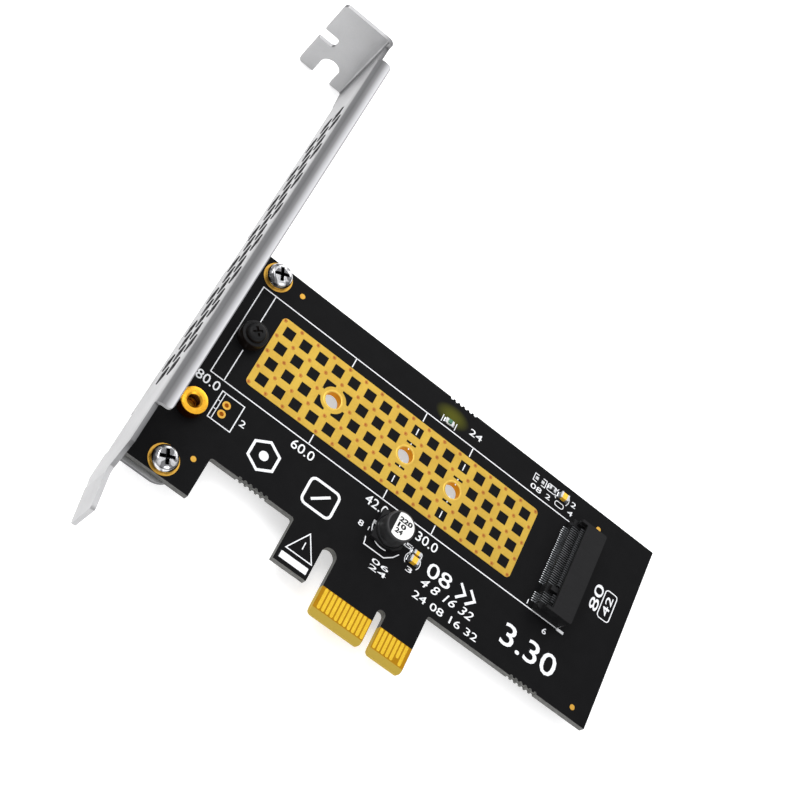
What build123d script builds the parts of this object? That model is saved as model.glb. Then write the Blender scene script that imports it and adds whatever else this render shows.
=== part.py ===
"""Adapter card that carries a gum-stick solid state drive in a one lane expansion slot.

The card lies component side up. X runs along the card from the slot bracket to the drive
socket, Y runs from the edge contacts up to the bracket's screw tab, and Z leaves the
component side. The origin is the middle of the key notch at the bottom edge of the edge
contacts, half way through the board. All lengths are millimetres.
"""
import os
from math import cos, radians, sin, sqrt, tan

from build123d import *

# Board
board_thickness = 1.57
board_past_fitted_hole = 9.05
board_right = 48.05
board_top = 57.2
board_low = 13.7
router_radius = 0.6

# Foot at the bracket end and stub beside the contact tab
foot_length = 14.55
foot_bottom = 4.6
stub_left = -23.5
stub_bottom = 4.6
relief_slot_width = 3.3
relief_slot_top = 13.15

# Edge contacts, in the one lane pattern
contact_pitch = 1.0
contact_width = 0.7
contact_thickness = 0.05
contact_bottom = 1.5
contact_top = 5.9
detect_contact_cut = 1.1
key_notch_width = 1.9
key_notch_top = 8.95
contacts_before_key = 11
contacts_after_key = 7
contact_to_notch = 0.55
contact_to_end = 1.1
edge_bevel_height = 1.3
edge_bevel_depth = 0.45
tab_corner_radius = 0.8

# Break-away tab marks, rows of ragged bites in the outline
bite_radius = 0.4
bite_sides = 8
bite_pitch = 1.2
bite_count = 6
bite_top_x = -3.85
bite_low_x = 32.35

# Drive seat: card end datum, and the hole distances of the drive lengths
drive_axis_y = 39.4
drive_end_x = 31.85
drive_length_fitted = 80.0
drive_length_long = 60.0
drive_length_middle = 42.0
drive_length_short = 30.0
drive_hole_diameter = 3.4
pad_thickness = 0.05

# Gold heat pad with square windows between plated vias
grid_pitch = 4.0
grid_columns = 16
grid_rows = 4
grid_columns_before_ring = 4
grid_window = 2.3
grid_border = 0.6
grid_corner_radius = 1.0
grid_ring_diameter = 5.6
patch_half_height = 2.65

# Bracket, one folded sheet
sheet = 0.86
bend_inside = 0.5
bracket_board_gap = 0.69
bracket_width = 18.42
bracket_foot_y = -2.4
tab_underside_y = 106.2
tab_width = 21.59
tab_depth = 11.43
tab_corner = 1.1
slot_mouth_radius = 0.4
screw_slot_width = 4.42
screw_slot_offset = 5.4
screw_slot_reach = 6.4
guide_notch_width = 3.15
guide_notch_depth = 3.9
guide_notch_from_top = 9.1
guide_notch_radius = 0.9
neck_drop = 6.3
neck_step = 1.1
flange_reach = 3.1
flange_top_gap = 5.0
flange_bottom = 7.9
flange_corner = 1.0
below_flange_inset = 1.2
tongue_length = 10.56
tongue_width = 10.19
tongue_low_inset = 3.0
tongue_high_rise = 1.9
tongue_bend_drop = 3.6
tongue_bend_angle = 10.0
tongue_corner = 0.8

# Vents, hexagons in a honeycomb
vent_across_flats = 3.9
vent_pitch = 5.0
vent_rows = 17
vent_centre_y = 53.5
vent_centre_z = 7.7

# Lugs behind the board and the two screws
lug_width = 8.0
lug_relief = 0.7
lug_screw_inset = 7.4
upper_screw_y = 54.35
lower_screw_y = 7.75
lug_bore_diameter = 3.0
screw_hole_diameter = 3.4
screw_pad_diameter = 6.2
screw_shank_diameter = 2.8
screw_head_diameter = 5.3
screw_head_height = 1.9
screw_tip_past_lug = 1.2
head_crown = 0.35
crown_slope = 2.0
screw_turn = 25.0
cross_width = 0.75
cross_span = 2.9
cross_depth = 1.1

# Standoffs and the drive screw
standoff_diameter = 5.5
standoff_height = 2.4
standoff_bore = 2.6
standoff_chamfer = 0.15
standoff_shank_diameter = 3.6
standoff_shank_depth = 1.2
seat_clearance = 0.03
spare_standoff_inset = 6.0
spare_standoff_y = 19.95
drive_screw_head_diameter = 4.1
drive_screw_head_height = 1.0
drive_screw_shank_diameter = 1.9
drive_screw_length = 2.6
drive_cross_width = 0.5
drive_cross_span = 2.0
drive_cross_depth = 0.6
drive_screw_turn = 40.0

# Drive socket
socket_front = 28.35
socket_back = 34.75
socket_length = 21.9
socket_height = 4.2
jaw_front = 27.5
jaw_height = 2.3
mouth_height = 1.05
mouth_length = 20.0
mouth_depth = 4.0
cover_recess = 1.45
cover_recess_length = 20.6
upper_contact_reach = 0.85
cover_corner = 0.5
socket_lift = 0.12
socket_pitch = 0.5
socket_first_row = 38
socket_key_first = 29
socket_key_count = 4
socket_pin_width = 0.22
socket_groove_width = 0.32
socket_pin_thickness = 0.18
socket_tail = 0.5
socket_contact_inset = 0.06
floor_groove_depth = 0.55
wall_groove_depth = 0.3
roof_groove_height = 0.4
contact_sink = 0.17
contact_end_gap = 0.3
roof_contact_lift = 0.12
socket_key_y = -6.125
socket_key_width = 1.05
socket_key_inset = 0.6
peg_diameter = 1.5
peg_spacing = 18.0
peg_back = 2.4
anchor_length = 1.8
anchor_reach = 0.6
anchor_overhang = 1.2
anchor_thickness = 0.2
anchor_height = 1.3

# Electrolytic capacitor
capacitor_x = -5.85
capacitor_y = 23.2
capacitor_diameter = 6.3
capacitor_height = 4.8
capacitor_groove_depth = 0.25
capacitor_groove_width = 0.8
capacitor_groove_height = 1.6
capacitor_rim = 0.35
capacitor_base_width = 6.6
capacitor_base_height = 0.6
capacitor_corner_height = 0.4
capacitor_corner_gap = 0.2
capacitor_base_chamfer = 1.3
capacitor_terminal_width = 0.7
capacitor_terminal_reach = 0.6
capacitor_terminal_thickness = 0.15

# Small holes and marks
header_inset = 11.95
header_y = 23.3
header_pitch = 2.1
header_ring_diameter = 1.7
header_hole_diameter = 0.9
alignment_mark_diameter = 1.15

# Chip parts, each as its centre, then its length along X, its width and its height
chip_end = 0.45
chip_end_grow = 0.03
chip_capacitor_places = ((24.0, 54.2, 2.0, 1.3, 1.1), (0.9, 21.2, 2.0, 1.3, 1.1), (0.9, 22.9, 1.6, 0.8, 0.8))
chip_resistor_places = ((21.1, 54.3, 1.6, 0.8, 0.45),)
lamp_places = ((-5.2, 51.85, 2.0, 1.1, 0.35),)
lens_height = 0.45
lens_inset = 0.12
empty_land_size = 0.7
empty_land_places = ((17.15, 54.25), (18.7, 54.25))
left_mark_insets = ((13.4, 54.3), (11.9, 11.3))
right_mark_insets = ((13.75, 53.4), (4.15, 16.1))

# How far a cutting tool reaches past a face, and how far joined blocks of one solid overlap
overcut = 1.0
weld = 0.1

fitted_hole_x = drive_end_x - drive_length_fitted
board_left = fitted_hole_x - board_past_fitted_hole
foot_right = board_left + foot_length
lug_screw_x = board_left + lug_screw_inset
spare_standoff_x = board_left + spare_standoff_inset
header_x = board_left + header_inset
alignment_mark_places = [(board_left + inset, y) for inset, y in left_mark_insets]
alignment_mark_places += [(board_right - inset, y) for inset, y in right_mark_insets]
half_board = board_thickness / 2
pad_top = half_board + pad_thickness
first_contact = key_notch_width / 2 + contact_to_notch
tab_left = -first_contact - (contacts_before_key - 1) * contact_pitch - contact_to_end
tab_right = first_contact + (contacts_after_key - 1) * contact_pitch + contact_to_end
bracket_inner_x = board_left - bracket_board_gap
bracket_outer_x = bracket_inner_x - sheet
bracket_low_z = -half_board - sheet
bracket_high_z = bracket_low_z + bracket_width
bend_outside = bend_inside + sheet
fold_root = bend_outside + sheet / 2
flat_high_z = bracket_high_z - bend_outside
tab_top_y = tab_underside_y + sheet
bracket_tip_y = bracket_foot_y - tongue_length
tongue_bend_y = bracket_foot_y - tongue_bend_drop
tongue_high_y = bracket_foot_y + tongue_high_rise
tab_edge_x = bracket_outer_x - tab_depth
tab_low_z = bracket_high_z - tab_width
drive_lengths_open = (drive_length_long, drive_length_middle, drive_length_short)
drive_hole_places = [drive_end_x - length for length in drive_lengths_open]
screw_places = ((lug_screw_x, upper_screw_y), (lug_screw_x, lower_screw_y))
peg_x = socket_back - peg_back
peg_places = ((peg_x, drive_axis_y - peg_spacing / 2), (peg_x, drive_axis_y + peg_spacing / 2))
header_places = ((header_x, header_y - header_pitch / 2), (header_x, header_y + header_pitch / 2))
grid_centre_x = drive_end_x - drive_length_long + grid_pitch * (grid_columns / 2 - grid_columns_before_ring)


def slab(x_low, x_high, y_low, y_high, z_low, z_high):
    """Box between two corners."""
    size = (x_high - x_low, y_high - y_low, z_high - z_low)
    centre = ((x_low + x_high) / 2, (y_low + y_high) / 2, (z_low + z_high) / 2)
    return Pos(*centre) * Box(*size)


def disc(x, y, radius, z_low, z_high):
    """Upright cylinder between two heights."""
    return Pos(x, y, (z_low + z_high) / 2) * Cylinder(radius, z_high - z_low)


def ring(x, y, outer, inner, z_low, z_high):
    """Upright tube between two heights."""
    return disc(x, y, outer, z_low, z_high) - disc(x, y, inner, z_low - overcut, z_high + overcut)


def solids_of(shapes):
    """Separate solids of one sub-part, kept side by side in one compound."""
    return Compound(children=[solid for shape in shapes for solid in shape.solids()])


def prism_xy(points, z_low, z_high):
    """Outline in the XY plane, given thickness along Z."""
    face = Pos(0, 0, z_low) * make_face(Polyline(*points, close=True))
    return extrude(face, amount=z_high - z_low, dir=(0, 0, 1))


def edges_through(shape, axis, points):
    """Edges parallel to an axis that pass through one of the given points."""
    found = []
    for edge in shape.edges().filter_by(axis):
        for point in points:
            offset = Vector(*point) - edge.center()
            across = offset - axis.direction * offset.dot(axis.direction)
            if across.length < 0.01:
                found.append(edge)
    return found


def contact_places():
    """X of each edge contact, from the bracket end to the socket end."""
    before = [-first_contact - contact_pitch * n for n in reversed(range(contacts_before_key))]
    return before + [first_contact + contact_pitch * n for n in range(contacts_after_key)]


def bite_places():
    """Centres of the bites that the broken-off tabs leave."""
    runs = ((bite_top_x, board_top), ((foot_right + stub_left) / 2, board_low), (bite_low_x, board_low))
    middle = (bite_count - 1) / 2
    return [(x + (n - middle) * bite_pitch, y) for x, y in runs for n in range(bite_count)]


def round_ended_cut(x, width, top):
    """Cut that opens at the bottom edge and ends in a half circle."""
    body = slab(x - width / 2, x + width / 2, -overcut, top - width / 2, -board_thickness, board_thickness)
    return body + disc(x, top - width / 2, width / 2, -board_thickness, board_thickness)


def edge_bevel(side):
    """Wedge that takes the bevel off one face of the contact tab."""
    low = half_board - edge_bevel_depth
    drop = overcut * edge_bevel_depth / edge_bevel_height
    outside = half_board + overcut
    high = edge_bevel_height
    wedge = [(-overcut, low - drop), (high, half_board), (high, outside), (-overcut, outside)]
    face = make_face(Polyline(*[(tab_left - overcut, y, side * z) for y, z in wedge], close=True))
    return extrude(face, amount=tab_right - tab_left + 2 * overcut, dir=(1, 0, 0))


def circuit_board():
    """Routed board with its contact tab, key notch and every hole."""
    outline = [
        (board_left, foot_bottom),
        (foot_right, foot_bottom),
        (foot_right, board_low),
        (stub_left, board_low),
        (stub_left, stub_bottom),
        (tab_left, stub_bottom),
        (tab_left, 0),
        (tab_right, 0),
        (tab_right, board_low),
        (board_right, board_low),
        (board_right, board_top),
        (board_left, board_top),
    ]
    board = prism_xy(outline, -half_board, half_board)
    relief_slot = round_ended_cut(tab_left - relief_slot_width / 2, relief_slot_width, relief_slot_top)
    board -= [relief_slot, round_ended_cut(0, key_notch_width, key_notch_top)]
    inner = [(x, board_low, 0) for x in (foot_right, stub_left, tab_right)]
    board = fillet(edges_through(board, Axis.Z, inner), router_radius)
    ends = [(x, 0, 0) for x in (tab_left, -key_notch_width / 2, key_notch_width / 2, tab_right)]
    board = fillet(edges_through(board, Axis.Z, ends), tab_corner_radius)
    round_holes = [(x, y, screw_hole_diameter) for x, y in screw_places]
    round_holes += [(x, drive_axis_y, drive_hole_diameter) for x in drive_hole_places]
    shank = standoff_shank_diameter + 2 * seat_clearance
    round_holes += [(fitted_hole_x, drive_axis_y, shank), (spare_standoff_x, spare_standoff_y, shank)]
    round_holes += [(x, y, peg_diameter + 2 * seat_clearance) for x, y in peg_places]
    round_holes += [(x, y, header_hole_diameter) for x, y in header_places]
    holes = [disc(x, y, diameter / 2, -board_thickness, board_thickness) for x, y, diameter in round_holes]
    bite = extrude(RegularPolygon(bite_radius, bite_sides), amount=board_thickness, both=True)
    bites = [Pos(x, y) * bite for x, y in bite_places()]
    return board - [edge_bevel(1), edge_bevel(-1), *holes, *bites]


def edge_contacts(side):
    """Row of contacts on one face, with the shorter presence contact on the last but one."""
    places = contact_places()
    low, high = sorted((side * half_board, side * (half_board + contact_thickness)))
    contacts = []
    for number, x in enumerate(places):
        is_detect = side > 0 and number == len(places) - 2
        bottom = contact_bottom + (detect_contact_cut if is_detect else 0)
        contacts.append(slab(x - contact_width / 2, x + contact_width / 2, bottom, contact_top, low, high))
    return solids_of(contacts)


def grid_windows():
    """Square openings of the heat pad, left solid round the drive holes between them."""
    first_x = grid_centre_x - grid_pitch * (grid_columns - 1) / 2
    first_y = drive_axis_y - grid_pitch * (grid_rows - 1) / 2
    half = grid_window / 2
    windows = []
    for column in range(grid_columns):
        x = first_x + column * grid_pitch
        beside_hole = any(abs(x - hole) < grid_pitch / 4 for hole in drive_hole_places)
        for row in range(grid_rows):
            y = first_y + row * grid_pitch
            low, high = y - half, y + half
            if beside_hole and y > drive_axis_y and high < drive_axis_y + grid_pitch:
                low = drive_axis_y + patch_half_height
            if beside_hole and y < drive_axis_y and low > drive_axis_y - grid_pitch:
                high = drive_axis_y - patch_half_height
            windows.append(slab(x - half, x + half, low, high, 0, pad_top + overcut))
    return windows


def heat_pad():
    """Thin gold plated pad: a net of bars with solid rings round the drive holes."""
    half_x = grid_columns * grid_pitch / 2 + grid_border
    half_y = grid_rows * grid_pitch / 2 + grid_border
    pad = slab(grid_centre_x - half_x, grid_centre_x + half_x,
               drive_axis_y - half_y, drive_axis_y + half_y, half_board, pad_top)
    pad = fillet(pad.edges().filter_by(Axis.Z), grid_corner_radius)
    pad -= grid_windows()
    pad += disc(drive_hole_places[0], drive_axis_y, grid_ring_diameter / 2, half_board, pad_top)
    top = pad_top + overcut
    return pad - [disc(x, drive_axis_y, drive_hole_diameter / 2, 0, top) for x in drive_hole_places]


def drive_eyelets():
    """Plated rings round the three open drive holes on the back of the board."""
    outer = grid_ring_diameter / 2
    inner = drive_hole_diameter / 2
    low = -half_board - pad_thickness
    return solids_of([ring(x, drive_axis_y, outer, inner, low, -half_board) for x in drive_hole_places])


def screw_lands():
    """Gold rings under the bracket screws, cut off where they reach the board's edge."""
    edge_limit = slab(board_left, 0, foot_bottom, board_top, 0, pad_top + overcut)
    lands = []
    for x, y in screw_places:
        land = ring(x, y, screw_pad_diameter / 2, screw_hole_diameter / 2, half_board, pad_top)
        lands.append(land & edge_limit)
    return solids_of(lands)


def header_eyelets():
    """Plated rings round the two holes of the empty lamp connector, on both faces."""
    outer = header_ring_diameter / 2
    inner = header_hole_diameter / 2
    faces = ((half_board, pad_top), (-half_board - pad_thickness, -half_board))
    return solids_of([ring(x, y, outer, inner, low, high) for x, y in header_places for low, high in faces])


def alignment_marks():
    """Small gold dots that the placing machine reads."""
    radius = alignment_mark_diameter / 2
    return solids_of([disc(x, y, radius, half_board, pad_top) for x, y in alignment_mark_places])


def bracket_profile():
    """Strip seen from the side: screw tab, straight face and slightly bent tongue, as wide as the tab."""
    lean = radians(tongue_bend_angle)
    tip_x = bracket_outer_x + (tongue_bend_y - bracket_tip_y) * tan(lean)
    outline = [
        (tab_edge_x, tab_underside_y),
        (bracket_outer_x, tab_underside_y),
        (bracket_outer_x, tongue_bend_y),
        (tip_x, bracket_tip_y),
        (tip_x + sheet * cos(lean), bracket_tip_y + sheet * sin(lean)),
        (bracket_inner_x, tongue_bend_y + sheet * tan(lean / 2)),
        (bracket_inner_x, tab_top_y),
        (tab_edge_x, tab_top_y),
    ]
    strip = prism_xy(outline, tab_low_z, bracket_high_z)
    strip = fillet(edges_through(strip, Axis.Z, [(bracket_inner_x, tab_top_y, 0)]), bend_outside)
    return fillet(edges_through(strip, Axis.Z, [(bracket_outer_x, tab_underside_y, 0)]), bend_inside)


def bracket_outline():
    """Trimming block: the face seen along the card, from the tab's fold to the end of the tongue."""
    neck_low = bracket_low_z - neck_step
    neck_foot = tab_underside_y - neck_drop
    fold_y = tab_underside_y - bend_inside
    under_flange = bracket_high_z - below_flange_inset
    tongue_low = bracket_low_z + tongue_low_inset
    tongue_high = tongue_low + tongue_width
    outline = [
        (tab_top_y + overcut, bracket_high_z),
        (fold_y, bracket_high_z),
        (fold_y, flat_high_z),
        (flange_bottom, flat_high_z),
        (flange_bottom, under_flange),
        (tongue_high_y, under_flange),
        (tongue_high_y - under_flange + tongue_high, tongue_high),
        (bracket_tip_y, tongue_high),
        (bracket_tip_y, tongue_low),
        (bracket_foot_y - tongue_low_inset, tongue_low),
        (bracket_foot_y, bracket_low_z),
        (neck_foot, bracket_low_z),
        (neck_foot, neck_low),
        (fold_y, tab_low_z),
        (tab_top_y + overcut, tab_low_z),
    ]
    start = tab_edge_x - overcut
    face = make_face(Polyline(*[(start, y, z) for y, z in outline], close=True))
    block = extrude(face, amount=bracket_inner_x + tongue_width - start, dir=(1, 0, 0))
    tip = [(0, bracket_tip_y, tongue_low), (0, bracket_tip_y, tongue_high)]
    return fillet(edges_through(block, Axis.X, tip), tongue_corner)


def vent_places():
    """Centres of the vents, row by row, in turn two and three to a row."""
    row_step = vent_pitch * sqrt(3) / 2
    places = []
    for row in range(vent_rows):
        y = vent_centre_y + (row - (vent_rows - 1) / 2) * row_step
        count = 2 if row % 2 == 0 else 3
        places += [(y, vent_centre_z + (n - (count - 1) / 2) * vent_pitch) for n in range(count)]
    return places


def tab_cuts(strip):
    """Strip with the screw slot and the guide notch cut in its tab, and their corners rounded."""
    slot_x = bracket_outer_x - screw_slot_offset
    slot_radius = screw_slot_width / 2
    slot_centre_z = tab_low_z + screw_slot_reach - slot_radius
    notch_high = bracket_high_z - guide_notch_from_top
    notch_low = notch_high - guide_notch_width
    low_y = tab_underside_y - overcut
    high_y = tab_top_y + overcut
    corners = [(tab_edge_x, 0, tab_low_z), (tab_edge_x, 0, bracket_high_z)]
    strip = fillet(edges_through(strip, Axis.Y, corners), tab_corner)
    slot = slab(slot_x - slot_radius, slot_x + slot_radius, low_y, high_y, tab_low_z - overcut, slot_centre_z)
    slot_end = Rot(90, 0, 0) * Cylinder(slot_radius, high_y - low_y)
    slot_end = Pos(slot_x, (low_y + high_y) / 2, slot_centre_z) * slot_end
    notch = slab(tab_edge_x - overcut, tab_edge_x + guide_notch_depth, low_y, high_y, notch_low, notch_high)
    deep = [(tab_edge_x + guide_notch_depth, 0, z) for z in (notch_low, notch_high)]
    notch = fillet(edges_through(notch, Axis.Y, deep), guide_notch_radius)
    strip -= [slot, slot_end, notch]
    mouths = [(slot_x - slot_radius, 0, tab_low_z), (slot_x + slot_radius, 0, tab_low_z)]
    mouths += [(tab_edge_x, 0, notch_low), (tab_edge_x, 0, notch_high)]
    return fillet(edges_through(strip, Axis.Y, mouths), slot_mouth_radius)


def fold(corner_x, corner_z, run_x, rise_z, y_low, y_high):
    """Right-angled fold of the sheet, as an L with its outside corner at the given place.

    run_x and rise_z are the signed lengths of the two legs, measured from that corner.
    """
    side_x = 1 if run_x > 0 else -1
    side_z = 1 if rise_z > 0 else -1
    points = [
        (corner_x, corner_z),
        (corner_x + run_x, corner_z),
        (corner_x + run_x, corner_z + side_z * sheet),
        (corner_x + side_x * sheet, corner_z + side_z * sheet),
        (corner_x + side_x * sheet, corner_z + rise_z),
        (corner_x, corner_z + rise_z),
    ]
    face = make_face(Polyline(*[(x, y_low, z) for x, z in points], close=True))
    strip = extrude(face, amount=y_high - y_low, dir=(0, 1, 0))
    strip = fillet(edges_through(strip, Axis.Y, [(corner_x, 0, corner_z)]), bend_outside)
    inside = (corner_x + side_x * sheet, 0, corner_z + side_z * sheet)
    return fillet(edges_through(strip, Axis.Y, [inside]), bend_inside)


def stiffening_flange():
    """Narrow flange along the component side edge, folded over the card."""
    top = tab_underside_y - flange_top_gap
    strip = fold(bracket_outer_x, bracket_high_z, flange_reach, -fold_root, flange_bottom, top)
    free_x = bracket_outer_x + flange_reach
    free = [(free_x, flange_bottom, 0), (free_x, top, 0)]
    return fillet(edges_through(strip, Axis.Z, free), flange_corner)


def lug(screw_y):
    """Lug folded under the board, with a round end and the bore for one screw."""
    reach = lug_screw_x - bracket_outer_x
    strip = fold(bracket_outer_x, bracket_low_z, reach, fold_root,
                 screw_y - lug_width / 2, screw_y + lug_width / 2)
    strip += disc(lug_screw_x, screw_y, lug_width / 2, bracket_low_z, bracket_low_z + sheet)
    return strip - disc(lug_screw_x, screw_y, lug_bore_diameter / 2, bracket_low_z - overcut, half_board)


def mounting_bracket():
    """Slot bracket: vented face, tongue, screw tab, flange and two lugs in one sheet."""
    body = tab_cuts(bracket_profile() & bracket_outline())
    reach = lug_width / 2 + lug_relief
    cuts = [slab(bracket_outer_x - overcut, bracket_inner_x + overcut, y - reach, y + reach,
                 bracket_low_z - overcut, bracket_low_z + bend_outside) for _, y in screw_places]
    hexagon = Plane.YZ * RegularPolygon(vent_across_flats / 2, 6, major_radius=False)
    vent = extrude(hexagon, amount=sheet + overcut, both=True)
    cuts += [Pos(bracket_outer_x, y, z) * vent for y, z in vent_places()]
    return body - cuts + [stiffening_flange(), *(lug(y) for _, y in screw_places)]


def pan_head_screw(head_diameter, head_height, shank_diameter, shank_length, cross):
    """Pan head with a cross recess on a plain shank, standing on the origin with its shank below."""
    width, span, depth = cross
    bar = Box(span, width, 2 * depth)
    head = Cylinder(head_diameter / 2, head_height, align=(Align.CENTER, Align.CENTER, Align.MIN))
    rim = head.edges().filter_by(GeomType.CIRCLE).sort_by(Axis.Z)[-1]
    head = chamfer(rim, head_height * head_crown, head_height * head_crown * crown_slope)
    head -= [Pos(0, 0, head_height) * bar, Pos(0, 0, head_height) * Rot(0, 0, 90) * bar]
    return head + Cylinder(shank_diameter / 2, shank_length, align=(Align.CENTER, Align.CENTER, Align.MAX))


def bracket_screws():
    """Two pan head screws that clamp the board to the lugs."""
    length = pad_top + half_board + sheet + screw_tip_past_lug
    cross = (cross_width, cross_span, cross_depth)
    screw = pan_head_screw(screw_head_diameter, screw_head_height, screw_shank_diameter, length, cross)
    return solids_of([Pos(x, y, pad_top) * Rot(0, 0, screw_turn) * screw for x, y in screw_places])


def standoff():
    """Round drive standoff with a shank that sits in the board."""
    height = standoff_height + standoff_shank_depth
    body = disc(0, 0, standoff_diameter / 2, 0, standoff_height)
    rim = body.edges().filter_by(GeomType.CIRCLE).sort_by(Axis.Z)[-1]
    body = chamfer(rim, standoff_chamfer)
    body += disc(0, 0, standoff_shank_diameter / 2, -standoff_shank_depth, weld)
    return body - disc(0, 0, standoff_bore / 2, -height, height)


def drive_standoff():
    """Standoff fitted at the longest drive position."""
    return Pos(fitted_hole_x, drive_axis_y, half_board) * standoff()


def spare_standoff():
    """Second standoff, below the flange at the corner of the board."""
    return Pos(spare_standoff_x, spare_standoff_y, half_board) * standoff()


def drive_screw():
    """Small screw parked in the fitted standoff."""
    cross = (drive_cross_width, drive_cross_span, drive_cross_depth)
    screw = pan_head_screw(drive_screw_head_diameter, drive_screw_head_height,
                           drive_screw_shank_diameter, drive_screw_length, cross)
    seat = Pos(fitted_hole_x, drive_axis_y, half_board + standoff_height)
    return seat * Rot(0, 0, drive_screw_turn) * screw


def socket_pin_rows():
    """Y of the front contacts and of the back contacts, with the key gap left out."""
    start = drive_axis_y + socket_pitch * (socket_first_row - 1) / 2
    key = range(socket_key_first, socket_key_first + socket_key_count)
    front = [start - socket_pitch * n for n in range(socket_first_row) if n not in key]
    back = [start - socket_pitch * (n + 0.5) for n in range(socket_first_row - 1) if n not in key]
    return front, back


def xz_bar(points, y, width):
    """Bent flat bar: an outline in the XZ plane with a width along Y."""
    face = make_face(Polyline(*[(x, y - width / 2, z) for x, z in points], close=True))
    return extrude(face, amount=width, dir=(0, 1, 0))


def socket_levels():
    """Heights of the socket: board, housing floor, jaw, mouth roof and housing top."""
    board = half_board
    floor = board + socket_lift
    jaw = board + jaw_height
    return board, floor, jaw, jaw + mouth_height, board + socket_height


def socket_housing():
    """Moulded socket: lower jaw, roof with a front recess, cheeks, key rib and pin grooves."""
    board, floor, jaw, roof, top = socket_levels()
    low_y = drive_axis_y - socket_length / 2
    high_y = drive_axis_y + socket_length / 2
    body = slab(socket_front, socket_back, low_y, high_y, floor, top)
    body = fillet(body.edges().filter_by(Axis.Z).sort_by(Axis.X)[-2:], cover_corner)
    body += slab(jaw_front, socket_front, low_y, high_y, floor, jaw)
    mouth_back = socket_front + mouth_depth
    half_mouth = mouth_length / 2
    half_recess = cover_recess_length / 2
    body -= slab(jaw_front - overcut, mouth_back,
                 drive_axis_y - half_mouth, drive_axis_y + half_mouth, jaw, roof)
    body -= slab(socket_front - overcut, socket_front + cover_recess, drive_axis_y - half_recess,
                 drive_axis_y + half_recess, roof - weld, top + overcut)
    key_y = drive_axis_y + socket_key_y
    body += slab(jaw_front + socket_key_inset, mouth_back, key_y - socket_key_width / 2,
                 key_y + socket_key_width / 2, jaw - weld, roof + weld)
    front, back = socket_pin_rows()
    half = socket_groove_width / 2
    ahead = jaw_front - overcut
    behind = socket_back + overcut
    ceiling = roof + roof_groove_height
    cuts = [slab(ahead, mouth_back, y - half, y + half, jaw - floor_groove_depth, jaw + weld) for y in front]
    cuts += [slab(ahead, jaw_front + wall_groove_depth, y - half, y + half, board, jaw) for y in front]
    cuts += [slab(ahead, behind, y - half, y + half, roof - weld, ceiling) for y in back]
    cuts += [slab(socket_back - wall_groove_depth, behind, y - half, y + half, board, ceiling) for y in back]
    pegs = [disc(x, y, peg_diameter / 2, -half_board, floor + weld) for x, y in peg_places]
    return body - cuts + pegs


def socket_front_contacts():
    """Lower row: a tail on the board, up the front of the jaw and in along the mouth floor."""
    board, _, jaw, _, _ = socket_levels()
    thick = socket_pin_thickness
    front = jaw_front + socket_contact_inset
    inner = socket_front + mouth_depth - contact_end_gap
    run = jaw - contact_sink
    profile = [
        (front - socket_tail, board),
        (front + thick, board),
        (front + thick, run - thick),
        (inner, run - thick),
        (inner, run),
        (front, run),
        (front, board + thick),
        (front - socket_tail, board + thick),
    ]
    return solids_of([xz_bar(profile, y, socket_pin_width) for y in socket_pin_rows()[0]])


def socket_back_contacts():
    """Upper row: a tail behind the socket, up its back and forward under the roof."""
    board, _, _, roof, _ = socket_levels()
    thick = socket_pin_thickness
    back = socket_back - socket_contact_inset
    run = roof + roof_contact_lift
    front = socket_front + cover_recess - upper_contact_reach
    profile = [
        (back + socket_tail, board),
        (back - thick, board),
        (back - thick, run),
        (front, run),
        (front, run + thick),
        (back, run + thick),
        (back, board + thick),
        (back + socket_tail, board + thick),
    ]
    return solids_of([xz_bar(profile, y, socket_pin_width) for y in socket_pin_rows()[1]])


def socket_anchors():
    """Soldered tabs that hold the back corners of the socket to the board."""
    board, floor, _, _, _ = socket_levels()
    far = socket_back + anchor_overhang
    near = far - anchor_length
    tabs = []
    for side in (-1, 1):
        end = drive_axis_y + side * socket_length / 2
        low, high = sorted((end, end + side * anchor_reach))
        inner, outer = sorted((end, end + side * anchor_thickness))
        foot = slab(near, far, low, high, board, board + anchor_thickness)
        wall = slab(near, socket_back - cover_corner, inner, outer, board, floor + anchor_height)
        tabs.append(foot + wall)
    return solids_of(tabs)


def capacitor_base():
    """Moulded base plate, raised at its four corners round the can, two of them cut off."""
    half = capacitor_base_width / 2
    seat = half_board + capacitor_base_height
    base = slab(capacitor_x - half, capacitor_x + half, capacitor_y - half, capacitor_y + half,
                half_board, seat + capacitor_corner_height)
    base = chamfer(base.edges().filter_by(Axis.Z).sort_by(Axis.X)[-2:], capacitor_base_chamfer)
    room = capacitor_diameter / 2 + capacitor_corner_gap
    return base - disc(capacitor_x, capacitor_y, room, seat, seat + capacitor_corner_height + overcut)


def capacitor_can():
    """Drawn can with a rolled groove near its foot and a bevelled rim, turned as one solid."""
    low = half_board + capacitor_base_height
    high = half_board + capacitor_height
    radius = capacitor_diameter / 2
    groove = half_board + capacitor_groove_height
    half = capacitor_groove_width / 2
    rim = capacitor_rim
    outline = [
        (0, low),
        (radius, low),
        (radius, groove - half),
        (radius - capacitor_groove_depth, groove),
        (radius, groove + half),
        (radius, high - rim),
        (radius - rim, high),
        (0, high),
    ]
    face = Plane.XZ * make_face(Polyline(*outline, close=True))
    return Pos(capacitor_x, capacitor_y, 0) * revolve(face, Axis.Z)


def capacitor_terminals():
    """Two flat terminals that leave the base at its ends."""
    half = capacitor_base_width / 2
    width = capacitor_terminal_width / 2
    tabs = []
    for side in (-1, 1):
        low, high = sorted((side * half, side * (half + capacitor_terminal_reach)))
        tabs.append(slab(capacitor_x + low, capacitor_x + high, capacitor_y - width, capacitor_y + width,
                         half_board, half_board + capacitor_terminal_thickness))
    return solids_of(tabs)


def chip_bodies(places):
    """Plain bodies of chip parts."""
    return solids_of([slab(x - length / 2 + chip_end, x + length / 2 - chip_end, y - width / 2, y + width / 2,
                           half_board, half_board + height) for x, y, length, width, height in places])


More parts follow.
